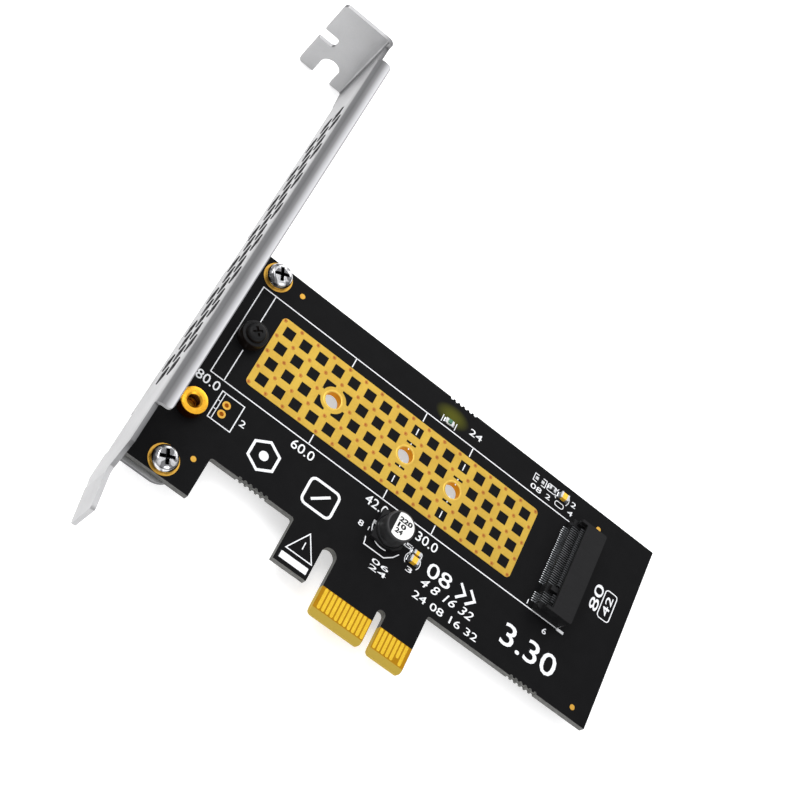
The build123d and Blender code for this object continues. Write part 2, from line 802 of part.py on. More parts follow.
def chip_ends(places):
    """Metal caps at both ends of chip parts, a little proud of the body."""
    caps = []
    for x, y, length, width, height in places:
        half_width = width / 2 + chip_end_grow
        for side in (-1, 1):
            low, high = sorted((side * (length / 2 - chip_end), side * length / 2))
            caps.append(slab(x + low, x + high, y - half_width, y + half_width,
                             half_board, half_board + height + chip_end_grow))
    return solids_of(caps)


def lamp_lenses():
    """Clear lens moulded on the base of each status lamp."""
    lenses = []
    for x, y, length, width, height in lamp_places:
        half_length = length / 2 - chip_end - lens_inset
        half_width = width / 2 - lens_inset
        base = half_board + height
        block = slab(x - half_length, x + half_length, y - half_width, y + half_width,
                     base, base + lens_height)
        lenses.append(fillet(block.edges().group_by(Axis.Z)[-1], lens_inset))
    return solids_of(lenses)


def empty_lands():
    """Tinned lands of the lamp that is left off the board."""
    half = empty_land_size / 2
    return solids_of([slab(x - half, x + half, y - half, y + half, half_board, pad_top)
                      for x, y in empty_land_places])


parts = {
    "circuit_board": circuit_board(),
    "edge_contacts_front": edge_contacts(1),
    "edge_contacts_back": edge_contacts(-1),
    "heat_pad": heat_pad(),
    "drive_hole_eyelets": drive_eyelets(),
    "screw_lands": screw_lands(),
    "header_eyelets": header_eyelets(),
    "alignment_marks": alignment_marks(),
    "empty_lands": empty_lands(),
    "mounting_bracket": mounting_bracket(),
    "bracket_screws": bracket_screws(),
    "drive_standoff": drive_standoff(),
    "drive_screw": drive_screw(),
    "spare_standoff": spare_standoff(),
    "socket_housing": socket_housing(),
    "socket_front_contacts": socket_front_contacts(),
    "socket_back_contacts": socket_back_contacts(),
    "socket_anchors": socket_anchors(),
    "capacitor_can": capacitor_can(),
    "capacitor_base": capacitor_base(),
    "capacitor_terminals": capacitor_terminals(),
    "chip_capacitor_bodies": chip_bodies(chip_capacitor_places),
    "chip_capacitor_ends": chip_ends(chip_capacitor_places),
    "chip_resistor_body": chip_bodies(chip_resistor_places),
    "chip_resistor_ends": chip_ends(chip_resistor_places),
    "status_lamp_base": chip_bodies(lamp_places),
    "status_lamp_ends": chip_ends(lamp_places),
    "status_lamp_lens": lamp_lenses(),
}

os.makedirs("parts", exist_ok=True)
for name, shape in parts.items():
    export_step(shape, f"parts/{name}.step")
    print(name, len(shape.solids()), round(shape.volume, 3))
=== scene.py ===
"""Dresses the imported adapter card: a one-lane expansion card that carries a gum-stick drive.

Every size here is in millimetres in the card's own frame, and becomes metres when a mesh is made.
X runs from the slot bracket to the drive socket, Y from the edge fingers to the bracket's tab, and
Z leaves the component side.
"""
from __future__ import annotations

import logging
import math
from dataclasses import dataclass, field
from enum import Enum
from functools import lru_cache
from typing import Mapping, Sequence

import bmesh
import bpy
from mathutils import Matrix, Vector


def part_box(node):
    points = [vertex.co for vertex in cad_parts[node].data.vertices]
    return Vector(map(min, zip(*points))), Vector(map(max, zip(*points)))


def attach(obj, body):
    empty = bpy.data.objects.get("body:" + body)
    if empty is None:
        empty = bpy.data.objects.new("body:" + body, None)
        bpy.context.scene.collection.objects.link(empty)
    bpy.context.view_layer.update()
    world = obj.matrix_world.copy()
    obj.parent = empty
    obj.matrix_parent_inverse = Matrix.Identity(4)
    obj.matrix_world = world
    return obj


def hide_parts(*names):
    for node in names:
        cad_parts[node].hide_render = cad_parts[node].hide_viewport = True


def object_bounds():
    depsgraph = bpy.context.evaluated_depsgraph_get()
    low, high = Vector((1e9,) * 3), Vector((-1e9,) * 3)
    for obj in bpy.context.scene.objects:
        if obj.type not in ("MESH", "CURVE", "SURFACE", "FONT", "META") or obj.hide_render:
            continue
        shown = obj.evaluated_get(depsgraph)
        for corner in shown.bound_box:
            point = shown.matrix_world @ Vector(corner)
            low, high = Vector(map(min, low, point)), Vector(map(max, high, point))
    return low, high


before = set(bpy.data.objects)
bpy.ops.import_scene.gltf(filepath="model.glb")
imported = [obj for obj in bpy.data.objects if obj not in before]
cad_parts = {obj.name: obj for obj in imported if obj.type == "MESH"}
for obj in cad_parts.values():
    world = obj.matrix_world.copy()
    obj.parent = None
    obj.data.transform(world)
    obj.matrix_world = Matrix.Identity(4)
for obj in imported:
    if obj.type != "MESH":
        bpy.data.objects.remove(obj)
CAD_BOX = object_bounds()
MM = 0.001
IMAGE_SIDE = 800
log = logging.getLogger("adapter_card")

Point2 = tuple[float, float]
Point3 = tuple[float, float, float]
Colour = tuple[float, float, float, float]


def node_span(node: str, axis: int) -> Point2:
    """Gives the lowest and the highest place of a CAD node along an axis, in millimetres."""
    low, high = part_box(node)
    return (round(low[axis] / MM, 3), round(high[axis] / MM, 3))


def node_middle(node: str) -> Point2:
    """Gives the middle of a CAD node as seen from above, in millimetres."""
    return (round(sum(node_span(node, 0)) / 2, 2), round(sum(node_span(node, 1)) / 2, 2))


# Heights of the board's face and of the plated copper on it
TOP = node_span("circuit_board", 2)[1]
LAND_TOP = node_span("heat_pad", 2)[1]

# Places as seen from above
PAD_MIDDLE = node_middle("heat_pad")
DRIVE_POST = node_middle("drive_standoff")
SPARE_POST = node_middle("spare_standoff")
CAN_MIDDLE = node_middle("capacitor_can")
SCREW_LINE = node_middle("bracket_screws")
SCREW_PLACES = tuple((SCREW_LINE[0], round(SCREW_LINE[1] + step, 2)) for step in (23.3, -23.3))
HEADER = node_middle("header_eyelets")
HEADER_HOLES = tuple((HEADER[0], round(HEADER[1] + step, 2)) for step in (-1.05, 1.05))

# The drive's seats: a post stands at the fitted length, and the holes of the others are open
FITTED_LENGTH = 80.0
OPEN_LENGTHS = (60.0, 42.0, 30.0)
SEAT_END = DRIVE_POST[0] + FITTED_LENGTH
OPEN_SEATS = tuple((round(SEAT_END - length, 2), DRIVE_POST[1]) for length in OPEN_LENGTHS)
POST_HEIGHTS = node_span("drive_standoff", 2)


class Slot(Enum):
    """The record's material slots that the pieces made here stand for."""

    BOARD = "board"
    CONTACT_GOLD = "contact_gold"
    PAD_GOLD = "pad_gold"
    TIN = "tin"
    SCREW_CHROME = "screw_chrome"
    BLACK_STEEL = "black_steel"
    STANDOFF_BRASS = "standoff_brass"
    CAN_SLEEVE = "can_sleeve"


class Side(Enum):
    """The two faces of the card, as the sign of Z."""

    FRONT = 1
    BACK = -1


def tint(code: int) -> Colour:
    """Turns a screen colour into the linear colour that a shader takes.

    Args:
        code: the colour as 0xRRGGBB.

    Returns:
        Red, green, blue and full alpha.
    """
    parts = [(code >> shift & 255) / 255 for shift in (16, 8, 0)]
    linear = [part / 12.92 if part <= 0.04045 else ((part + 0.055) / 1.055) ** 2.4 for part in parts]
    return (linear[0], linear[1], linear[2], 1.0)


# Node trees


class Graph:
    """Adds nodes to one node tree."""

    def __init__(self, tree: bpy.types.NodeTree) -> None:
        """Keeps the tree that the nodes go into."""
        self.tree = tree

    def node(
        self,
        kind: str,
        settings: Mapping[str, object] | None = None,
        sockets: Mapping[str | int, object] | None = None,
    ) -> bpy.types.Node:
        """Adds one node, with its settings made before its sockets are filled.

        Args:
            kind: the node's type.
            settings: what is set on the node itself; a ramp's stops go under "stops".
            sockets: the value, link or signal for each input, by its name or its number.

        Returns:
            The node.
        """
        made = self.tree.nodes.new(kind)
        for name, value in (settings or {}).items():
            if name == "stops":
                self.set_stops(made.color_ramp, value)
            else:
                setattr(made, name, value)
        for name, value in (sockets or {}).items():
            self.plug(made.inputs[name], value)
        return made

    def plug(self, entry: bpy.types.NodeSocket, value: object) -> None:
        """Fills an input.

        Args:
            entry: the input socket.
            value: a signal or an output socket to link, or a plain value.
        """
        if isinstance(value, Signal):
            value = value.socket
        if isinstance(value, bpy.types.NodeSocket):
            self.tree.links.new(value, entry)
        else:
            entry.default_value = value

    @staticmethod
    def set_stops(ramp: bpy.types.ColorRamp, stops: Sequence[tuple[float, tuple]]) -> None:
        """Sets the stops of a colour ramp.

        Args:
            ramp: the ramp, which has two stops at first.
            stops: the place and colour of each stop, in order.
        """
        while len(ramp.elements) < len(stops):
            ramp.elements.new(1.0)
        for element, (place, colour) in zip(ramp.elements, stops):
            element.position = place
            element.color = colour


class Signal:
    """One number that runs through a node tree; arithmetic on it adds Math nodes."""

    def __init__(self, graph: Graph, socket: bpy.types.NodeSocket) -> None:
        """Keeps the tree and the socket that the number comes from."""
        self.graph = graph
        self.socket = socket

    def combine(self, operation: str, *values: object) -> Signal:
        """Adds a Math node.

        Args:
            operation: the node's operation.
            values: what its inputs take, in order.

        Returns:
            The node's result.
        """
        made = self.graph.node("ShaderNodeMath", {"operation": operation}, dict(enumerate(values)))
        return Signal(self.graph, made.outputs[0])

    def __add__(self, other: object) -> Signal:
        """Sum."""
        return self.combine("ADD", self, other)

    def __radd__(self, other: object) -> Signal:
        """Sum with a number on the left."""
        return self.combine("ADD", other, self)

    def __sub__(self, other: object) -> Signal:
        """Difference."""
        return self.combine("SUBTRACT", self, other)

    def __rsub__(self, other: object) -> Signal:
        """Difference with a number on the left."""
        return self.combine("SUBTRACT", other, self)

    def __mul__(self, other: object) -> Signal:
        """Product."""
        return self.combine("MULTIPLY", self, other)

    def __rmul__(self, other: object) -> Signal:
        """Product with a number on the left."""
        return self.combine("MULTIPLY", other, self)

    def __truediv__(self, other: object) -> Signal:
        """Quotient."""
        return self.combine("DIVIDE", self, other)

    def __rtruediv__(self, other: object) -> Signal:
        """Quotient with a number on the left."""
        return self.combine("DIVIDE", other, self)

    def __pow__(self, other: object) -> Signal:
        """Power."""
        return self.combine("POWER", self, other)

    def __abs__(self) -> Signal:
        """Size without sign."""
        return self.combine("ABSOLUTE", self)

    def sine(self) -> Signal:
        """Sine of an angle in radians."""
        return self.combine("SINE", self)

    def root(self) -> Signal:
        """Square root."""
        return self.combine("SQRT", self)

    def limit(self) -> Signal:
        """The number held between 0 and 1."""
        return self.combine("MINIMUM", self.combine("MAXIMUM", self, 0.0), 1.0)

    def over(self, edge: object, soft: float) -> Signal:
        """A mask that rises past an edge.

        Args:
            edge: the value at which the mask is a half.
            soft: the width of the rise.

        Returns:
            0 below the edge and 1 above it.
        """
        return ((self - edge) / soft + 0.5).limit()

    def under(self, edge: object, soft: float) -> Signal:
        """A mask that falls past an edge, the reverse of over()."""
        return 1.0 - self.over(edge, soft)

    def between(self, edges: Point2, soft: float) -> Signal:
        """A mask that is 1 from one edge to the other, and 0 outside them."""
        return self.over(edges[0], soft) * self.under(edges[1], soft)


class Sheet(Graph):
    """The node tree of one material, laid out in millimetres of the card's frame."""

    def __init__(self, name: str) -> None:
        """Makes the material with its shader and its place on the object.

        Args:
            name: the material's name.
        """
        self.material = bpy.data.materials.new(name)
        self.material.use_nodes = True
        super().__init__(self.material.node_tree)
        self.tree.nodes.clear()
        self.shader = self.node("ShaderNodeBsdfPrincipled")
        self.node("ShaderNodeOutputMaterial", {}, {"Surface": self.shader.outputs[0]})
        where = self.node("ShaderNodeTexCoord")
        scaled = self.node(
            "ShaderNodeVectorMath", {"operation": "SCALE"}, {0: where.outputs["Object"], "Scale": 1 / MM}
        )
        self.place = scaled.outputs[0]
        self.x, self.y, self.z = self.split(self.place)
        self.facing_x, self.facing_y, self.facing_z = self.split(where.outputs["Normal"])

    def split(self, vector: bpy.types.NodeSocket) -> list[Signal]:
        """Takes a vector apart into its three numbers."""
        apart = self.node("ShaderNodeSeparateXYZ", {}, {0: vector})
        return [Signal(self, output) for output in apart.outputs]

    def noise(self, per_mm: float | Point3, detail: float = 3.0, rough: float = 0.55) -> Signal:
        """Adds noise.

        Args:
            per_mm: how many cells there are in a millimetre, one number or one for each axis.
            detail: the number of finer layers.
            rough: the strength of the finer layers.

        Returns:
            The noise, about 0.5 on average.
        """
        scale = per_mm if isinstance(per_mm, tuple) else (per_mm,) * 3
        mapped = self.node("ShaderNodeMapping", {}, {"Vector": self.place, "Scale": scale})
        made = self.node(
            "ShaderNodeTexNoise",
            {},
            {"Vector": mapped.outputs[0], "Scale": 1.0, "Detail": detail, "Roughness": rough},
        )
        return Signal(self, made.outputs[0])

    def blend(self, first: object, second: object, share: object) -> bpy.types.NodeSocket:
        """Mixes two colours.

        Args:
            first: the colour at 0.
            second: the colour at 1.
            share: how much of the second there is.

        Returns:
            The mixed colour.
        """
        made = self.node("ShaderNodeMix", {"data_type": "RGBA"}, {0: share, 6: first, 7: second})
        return made.outputs[2]

    def ramp(self, signal: Signal, stops: Sequence[tuple[float, tuple]]) -> bpy.types.NodeSocket:
        """Turns a number into a colour through a ramp.

        Args:
            signal: the number.
            stops: the place and colour of each stop.

        Returns:
            The colour.
        """
        return self.node("ShaderNodeValToRGB", {"stops": stops}, {0: signal}).outputs[0]

    def disc(self, x: float, y: float, radius: float, soft: float = 0.05) -> Signal:
        """Masks an upright cylinder.

        Args:
            x: its centre along X.
            y: its centre along Y.
            radius: its radius.
            soft: how wide its edge is.

        Returns:
            1 inside it and 0 outside.
        """
        across, along = self.x - x, self.y - y
        return (across * across + along * along).root().under(radius, soft)

    def emboss(self, height: Signal, depth: float, strength: float = 1.0) -> None:
        """Gives the surface small relief.

        Args:
            height: the relief, 0 to 1.
            depth: how far the relief reaches, in millimetres.
            strength: how strongly it shows.
        """
        bump = self.node(
            "ShaderNodeBump", {}, {"Height": height, "Distance": depth * MM, "Strength": strength}
        )
        self.plug(self.shader.inputs["Normal"], bump.outputs[0])

    def set(self, **values: object) -> None:
        """Fills the shader's inputs, whose names are written with _ for each space.

        Args:
            values: a value, link or signal for each input.
        """
        for name, value in values.items():
            self.plug(self.shader.inputs[name.replace("_", " ")], value)


# Finishes


@dataclass(frozen=True)
class Finish:
    """What a surface is made of."""

    name: str

    @lru_cache(maxsize=None)
    def material(self) -> bpy.types.Material:
        """Writes the material once and hands it out after that.

        Returns:
            The material.
        """
        sheet = Sheet(self.name)
        self.write(sheet)
        return sheet.material

    def write(self, sheet: Sheet) -> None:
        """Lays the finish out on a sheet; each kind of finish has its own."""
        raise NotImplementedError


@dataclass(frozen=True)
class SolderMask(Finish):
    """Black mask over glass laminate, bare gold-tan at the edge fingers, plated in the open holes."""

    mask: int = 0x0C0C0D
    mask_worn: int = 0x121213
    laminate: int = 0x6E6E6C
    laminate_dark: int = 0x4E4E4D
    laminate_light: int = 0x86857F
    fingers: int = 0x8C620C
    fingers_light: int = 0xA2740F
    fingers_wall: int = 0xB49A45
    bevel: int = 0xA48C3A
    plating: int = 0xE8A11C
    glow: int = 0x4A4B12
    glow_light: int = 0x181908
    # Where the tones and the painted glow of the lamp lie
    fingers_top: float = 5.95
    fingers_x: Point2 = (-12.65, 8.65)
    bevel_top: float = 1.35
    seat_radius: float = 1.78
    header_radius: float = 0.55
    glow_centre: Point2 = (-5.1, 53.5)
    glow_reach: Point2 = (4.3, 2.5)

    def write(self, sheet: Sheet) -> None:
        """Lays out mask, routed edges, finger area, plated walls and the lamp's glow, which is painted on
        the mask as a pool of light that also emits.

        Args:
            sheet: the material's node tree.
        """
        cloudy = sheet.noise(0.35, 4.0)
        base = sheet.blend(tint(self.mask), tint(self.mask_worn), cloudy)
        layers = sheet.noise((0.8, 0.8, 9.0), 2.0)
        tones = (self.laminate_dark, self.laminate, self.laminate_light)
        edge = sheet.ramp(layers, [(place, tint(tone)) for place, tone in zip((0.3, 0.55, 0.75), tones)])
        wall = abs(sheet.facing_z).under(0.45, 0.1)
        base = sheet.blend(base, edge, wall)

        # A painted pool of the status lamp's light on the mask, which also glows through the emission
        across = (sheet.x - self.glow_centre[0]) / self.glow_reach[0]
        along = (sheet.y - self.glow_centre[1]) / self.glow_reach[1]
        spot = (1.0 - (across * across + along * along)).limit() ** 1.3 * sheet.facing_z.over(0.5, 0.1)
        base = sheet.blend(base, tint(self.glow), spot * 0.85)

        lane = sheet.y.under(self.fingers_top, 0.06) * sheet.x.between(self.fingers_x, 0.05)
        grainy = sheet.noise((5.0, 0.8, 5.0), 3.0)
        gold = sheet.blend(tint(self.fingers), tint(self.fingers_light), grainy)
        gold = sheet.blend(gold, tint(self.bevel), sheet.y.under(self.bevel_top, 0.1))
        gold = sheet.blend(gold, tint(self.fingers_wall), wall)
        base = sheet.blend(base, gold, lane)

        holes = [sheet.disc(x, y, self.seat_radius) for x, y in OPEN_SEATS]
        holes += [sheet.disc(x, y, self.header_radius) for x, y in HEADER_HOLES]
        barrel = sum(holes[1:], holes[0]).limit() * wall
        base = sheet.blend(base, tint(self.plating), barrel)

        warp = (sheet.x * 9.0).sine() * (sheet.y * 9.0).sine()
        sheet.emboss(warp * 0.5 + cloudy, 0.02, 0.25)
        sheet.set(
            Base_Color=base,
            Metallic=barrel * 0.9,
            Roughness=0.36 + 0.12 * cloudy + 0.3 * wall - 0.12 * barrel,
            Specular_IOR_Level=0.045,
            Emission_Color=sheet.blend((0, 0, 0, 1), tint(self.glow_light), spot),
            Emission_Strength=1.0,
        )


@dataclass(frozen=True)
class Plate(Finish):
    """Thin plated metal with a fine mottle, such as the gold of the heat pad."""

    light: int
    dark: int
    metal: float = 0.85
    rough: float = 0.34
    cells: float = 2.6

    def write(self, sheet: Sheet) -> None:
        """Lays out the two tones of the plating and its faint relief.

        Args:
            sheet: the material's node tree.
        """
        mottle = sheet.noise(self.cells, 4.0, 0.6)
        broad = sheet.noise(0.18, 2.0)
        share = (mottle * 0.7 + broad * 0.9 - 0.3).limit()
        colour = sheet.blend(tint(self.dark), tint(self.light), share)
        sheet.emboss(mottle, 0.012, 0.5)
        sheet.set(
            Base_Color=colour,
            Metallic=self.metal,
            Roughness=self.rough + 0.16 * (mottle - 0.5),
        )


@dataclass(frozen=True)
class RolledSteel(Finish):
    """Nickel-plated sheet with a fine grain along the strip, painted shade at the flange's fold, in the
    crease under the tab, on the lugs' rims and inside the vents, and a painted highlight at the flange's
    free edge.
    """

    light: int = 0xB8B8B9
    grain_tone: int = 0xA0A0A1
    dark: int = 0x848485
    free_edge_highlight: int = 0xC8C8CB
    painted_shade: int = 0x565658
    vent_shade: int = 0x1C1C1E
    # The flange: where it starts, its fold with its painted shade, and the free edge with its painted
    # highlight and the painted dark line of the rim at its very end
    flange_z: float = 14.0
    fold_x: float = -57.9
    fold_width: float = 3.0
    free_edge_x: float = -56.4
    rim_x: float = -55.84
    # The painted shade in the crease under the tab and on the rims of the lugs
    crease_y: float = 103.6
    crease_width: float = 6.0
    lug_x: float = -57.4
    lug_z: float = -0.86
    # The walls of the vents, which lie inside the thickness of the main plate and are painted near black as
    # shade
    face_x: Point2 = (-58.7, -57.94)
    vents_y: Point2 = (9.0, 98.0)
    vents_z: Point2 = (0.6, 14.6)

    def write(self, sheet: Sheet) -> None:
        """Lays out the grain, the smudges, the painted shade and rougher finish of the band beside the
        flange's fold, and the other painted shade and highlight.

        Args:
            sheet: the material's node tree.
        """
        grain = sheet.noise((6.0, 0.25, 6.0), 4.0, 0.65)
        smudge = sheet.noise(0.09, 3.0)
        colour = sheet.blend(tint(self.grain_tone), tint(self.light), grain)
        colour = sheet.blend(colour, tint(self.dark), (smudge - 0.42).limit() * 0.7)
        flange = sheet.z.over(self.flange_z, 2.0)
        upward = sheet.facing_z.over(0.4, 0.3)
        # Painted shade on the flange's upper face beside its fold, which is also rougher there
        near_fold = (1.0 - abs(sheet.x - self.fold_x) / self.fold_width).limit() * flange
        colour = sheet.blend(colour, tint(self.painted_shade), near_fold * 0.85 * upward)
        # A painted highlight along the flange's free edge, with a painted dark line at its rim
        free = sheet.x.over(self.free_edge_x, 1.6) * flange * upward
        colour = sheet.blend(colour, tint(self.free_edge_highlight), free * 0.9)
        colour = sheet.blend(colour, tint(self.painted_shade), free * sheet.x.over(self.rim_x, 0.1) * 0.8)
        # Painted shade in the crease under the tab and on the lugs' upright rims
        crease = sheet.y.over(self.crease_y, self.crease_width) * sheet.facing_x.under(-0.5, 0.3)
        sideways = abs(sheet.facing_z).under(0.5, 0.2)
        lug_rim_shade = sheet.x.over(self.lug_x, 0.1) * sheet.z.under(self.lug_z, 0.05) * sideways
        colour = sheet.blend(colour, tint(self.painted_shade), (crease * 0.75 + lug_rim_shade * 0.9).limit())
        # The vents' walls are painted near black as shade, and made less metallic and rougher
        vents = sheet.y.between(self.vents_y, 0.1) * sheet.z.between(self.vents_z, 0.1)
        inside = sheet.x.between(self.face_x, 0.04) * vents
        colour = sheet.blend(colour, tint(self.vent_shade), inside * 0.92)
        sheet.emboss(grain, 0.01, 0.35)
        sheet.set(
            Base_Color=colour,
            Metallic=0.88 - 0.5 * inside,
            Roughness=0.34 + 0.14 * grain + 0.08 * smudge + 0.2 * inside + 0.3 * near_fold,
        )


@dataclass(frozen=True)
class Pit:
    """A deep place of a turned piece, such as a bore or a cross recess, where shade is painted dark."""

    centre: Point2
    radius: float
    mouth: float


@dataclass(frozen=True)
class TurnedMetal(Finish):
    """Metal from a lathe: fine rings round the piece, another tone on its upright sides, which on the brass
    is painted shade, dark reflections painted in patches, and painted shade in its pits.
    """

    light: int
    dark: int
    metal: float = 1.0
    rough: float = 0.2
    # The tone of the upright sides, which on the brass standoff is painted shade
    side: int | None = None
    # The pits, and the painted shade that fills them
    pits: tuple[Pit, ...] = ()
    pit_shade: int = 0x1A1A1C
    pit_floor: float = 1.2
    # The tone of the dark reflections that bright metal mirrors, painted in patches
    shade: int | None = None
    gloss: float = 0.5

    def write(self, sheet: Sheet) -> None:
        """Lays out the tool marks and the tone of the sides.

        Args:
            Lays out the tool marks, the painted reflections, the tone of the sides with its painted shade,
            and the painted shade in the pits.
        """
        rings = sheet.noise((2.0, 2.0, 14.0), 2.0)
        fleck = sheet.noise(1.6, 3.0)
        colour = sheet.blend(tint(self.light), tint(self.dark), (fleck * 1.4 - 0.35).limit())
        # Painted dark reflections in patches
        if self.shade is not None:
            patches = ((sheet.noise(0.85, 0.0) - 0.5) * 14.0).limit()
            colour = sheet.blend(colour, tint(self.shade), patches * 0.75)
        # The upright sides take their own tone, which on the brass standoff is painted shade
        if self.side is not None:
            colour = sheet.blend(colour, tint(self.side), abs(sheet.facing_z).under(0.5, 0.3))
        # Painted shade in the bores and cross recesses
        for pit in self.pits:
            hollow = (
                sheet.disc(*pit.centre, pit.radius, 0.1)
                * sheet.z.under(pit.mouth - 0.25, 0.4)
                * sheet.z.over(self.pit_floor, 0.1)
            )
            colour = sheet.blend(colour, tint(self.pit_shade), hollow)
        sheet.emboss(rings, 0.012, 0.4)
        sheet.set(
            Base_Color=colour,
            Metallic=self.metal,
            Roughness=self.rough + 0.1 * rings,
            Specular_IOR_Level=self.gloss,
        )


@dataclass(frozen=True)
class MouldedPlastic(Finish):
    """Filled black plastic with a fine moulded texture."""

    colour: int = 0x232323
    worn: int = 0x2C2C2D
    rough: float = 0.45
    gloss: float = 0.3

    def write(self, sheet: Sheet) -> None:
        """Lays out the moulded grain and the slightly paler flow marks.

        Args:
            sheet: the material's node tree.
        """
        grain = sheet.noise(7.0, 3.0)
        flow = sheet.noise((0.25, 1.2, 0.6), 3.0)
        sheet.emboss(grain, 0.015, 0.5)
        sheet.set(
            Base_Color=sheet.blend(tint(self.colour), tint(self.worn), flow),
            Roughness=self.rough + 0.14 * (grain - 0.5),
            Specular_IOR_Level=self.gloss,
        )


@dataclass(frozen=True)
class CanSleeve(Finish):
    """Lacquered can: dark round the side, white on top with a black segment for the negative lead."""

    centre: Point2 = CAN_MIDDLE
    side: int = 0x2B2B2C
    side_worn: int = 0x363637
    top: int = 0xF4F4F2
    top_worn: int = 0xDCDCDA
    segment: int = 0x111112
    segment_from_centre: float = 1.35
    top_height: float = 5.2
    top_radius: float = 2.72

    def write(self, sheet: Sheet) -> None:
        """Lays out the dark side, the printed top and the segment.

        Args:
            sheet: the material's node tree.
        """
        fleck = sheet.noise(2.2, 3.0)
        side = sheet.blend(tint(self.side), tint(self.side_worn), fleck)
        lid = sheet.z.over(self.top_height, 0.1) * sheet.disc(*self.centre, self.top_radius, 0.06)
        dark = sheet.x.under(self.centre[0] - self.segment_from_centre, 0.05)
        top = sheet.blend(tint(self.top), tint(self.top_worn), fleck)
        top = sheet.blend(top, tint(self.segment), dark)
        sheet.emboss(fleck, 0.01, 0.3)
        sheet.set(
            Base_Color=sheet.blend(side, top, lid),
            Roughness=0.42 + 0.1 * fleck + 0.1 * lid,
            Specular_IOR_Level=0.2,
        )


@dataclass(frozen=True)
class Ceramic(Finish):
    """Fired ceramic of the chip parts, grained and slightly uneven in tone."""

    light: int = 0xF6C433
    dark: int = 0xD79A1E
    rough: float = 0.42

    def write(self, sheet: Sheet) -> None:
        """Lays out the speckle of the fired body.

        Args:
            sheet: the material's node tree.
        """
        speckle = sheet.noise(5.0, 4.0, 0.65)
        sheet.emboss(speckle, 0.02, 0.4)
        sheet.set(
            Base_Color=sheet.blend(tint(self.dark), tint(self.light), (speckle * 1.6 - 0.2).limit()),
            Roughness=self.rough + 0.12 * speckle,
        )


@dataclass(frozen=True)
class LampLens(Finish):
    """Clear green cap of the status lamp."""

    colour: int = 0x1F5A3C
    clouded: int = 0x5D8F6E

    def write(self, sheet: Sheet) -> None:
        """Lays out the cap with its clouded middle.

        Args:
            sheet: the material's node tree.
        """
        cloud = sheet.noise(3.0, 2.0)
        sheet.set(
            Base_Color=sheet.blend(tint(self.colour), tint(self.clouded), (cloud - 0.3).limit()),
            Roughness=0.12 + 0.08 * cloud,
            Coat_Weight=0.6,
        )


@dataclass(frozen=True)
class PrintInk(Finish):
    """Screen-printed white ink, a little thin in places."""

    ink: int = 0xE9EAEC
    thin: int = 0xB4B7BB

    def write(self, sheet: Sheet) -> None:
        """Lays out the ink with its thin spots.

        Args:
            sheet: the material's node tree.
        """
        thin = sheet.noise(2.4, 4.0, 0.6)
        sheet.set(
            Base_Color=sheet.blend(tint(self.ink), tint(self.thin), (thin * 1.5 - 0.45).limit()),
            Roughness=0.5 + 0.15 * thin,
            Specular_IOR_Level=0.3,
        )


@dataclass(frozen=True)
class PaleFloor(Finish):
    """Matt white paper that the card lies on, lit from below as on a light table."""

    light: Colour = (0.74, 0.74, 0.74, 1.0)
    dark: Colour = (0.7, 0.7, 0.7, 1.0)
    lift: float = 0.55

    def write(self, sheet: Sheet) -> None:
        """Lays out the paper's slight unevenness.

        Args:
            sheet: the material's node tree.
        """
        fibre = sheet.noise(0.02, 2.0)
        sheet.set(
            Base_Color=sheet.blend(self.light, self.dark, fibre),
            Roughness=0.8 + 0.1 * fibre,
            Specular_IOR_Level=0.1,
            Emission_Color=(1.0, 1.0, 1.0, 1.0),
            Emission_Strength=self.lift,
        )


BOARD = SolderMask("board_mask")
PAD_GOLD = Plate("pad_gold_plate", 0xD3B14B, 0xB9933A)
PAD_RIM = Plate("pad_rim_gold", 0xDDBB58, 0xC69F42)
FINGER_GOLD = Plate("finger_gold_plate", 0xF3CC38, 0xDDAE2A, metal=0.8, rough=0.26, cells=1.4)
LAND_GOLD = Plate("land_gold_plate", 0xEBBB52, 0xBF8A32, metal=0.85, rough=0.3, cells=1.0)
TIN = Plate("tin_plate", 0xE6E7E8, 0xB4B6B8, metal=0.9, rough=0.3, cells=3.0)
# Darker copies of the tin as painted shade: the front contacts beside the housing, and darker still the
# back contacts under its roof
SHADED_PIN_TIN = Plate("pin_tin_shaded_plate", 0x939597, 0x707376, metal=0.9, rough=0.34, cells=3.0)
SHADED_ROOF_TIN = Plate("roof_pin_shaded_plate", 0x4C4D4F, 0x38393B, metal=0.8, rough=0.42, cells=3.0)
SOLDER = Plate("solder_joint", 0xD9DBDD, 0xA5A8AB, metal=0.95, rough=0.22, cells=2.0)
COPPER = Plate("via_copper", 0xB88236, 0xA06A2A, metal=0.75, rough=0.42, cells=3.0)
VIA_CUP = Plate("via_cup_gold", 0x9E5A24, 0x80441A, metal=0.7, rough=0.4, cells=3.0)
STEEL = RolledSteel("bracket_nickel")
# The screw heads' cross recesses are painted dark as shade, and dark reflections are painted on them in
# patches
CHROME = TurnedMetal(
    "screw_nickel",
    0xE4E4E6,
    0xA2A3A6,
    metal=1.0,
    rough=0.13,
    pits=tuple(Pit(place, 1.6, 2.66) for place in SCREW_PLACES),
    shade=0x3E3E41,
)
BLACK_OXIDE = TurnedMetal(
    "black_oxide",
    0x151516,
    0x0C0C0D,
    metal=0.12,
    rough=0.36,
    side=0x17110E,
    gloss=0.14,
)
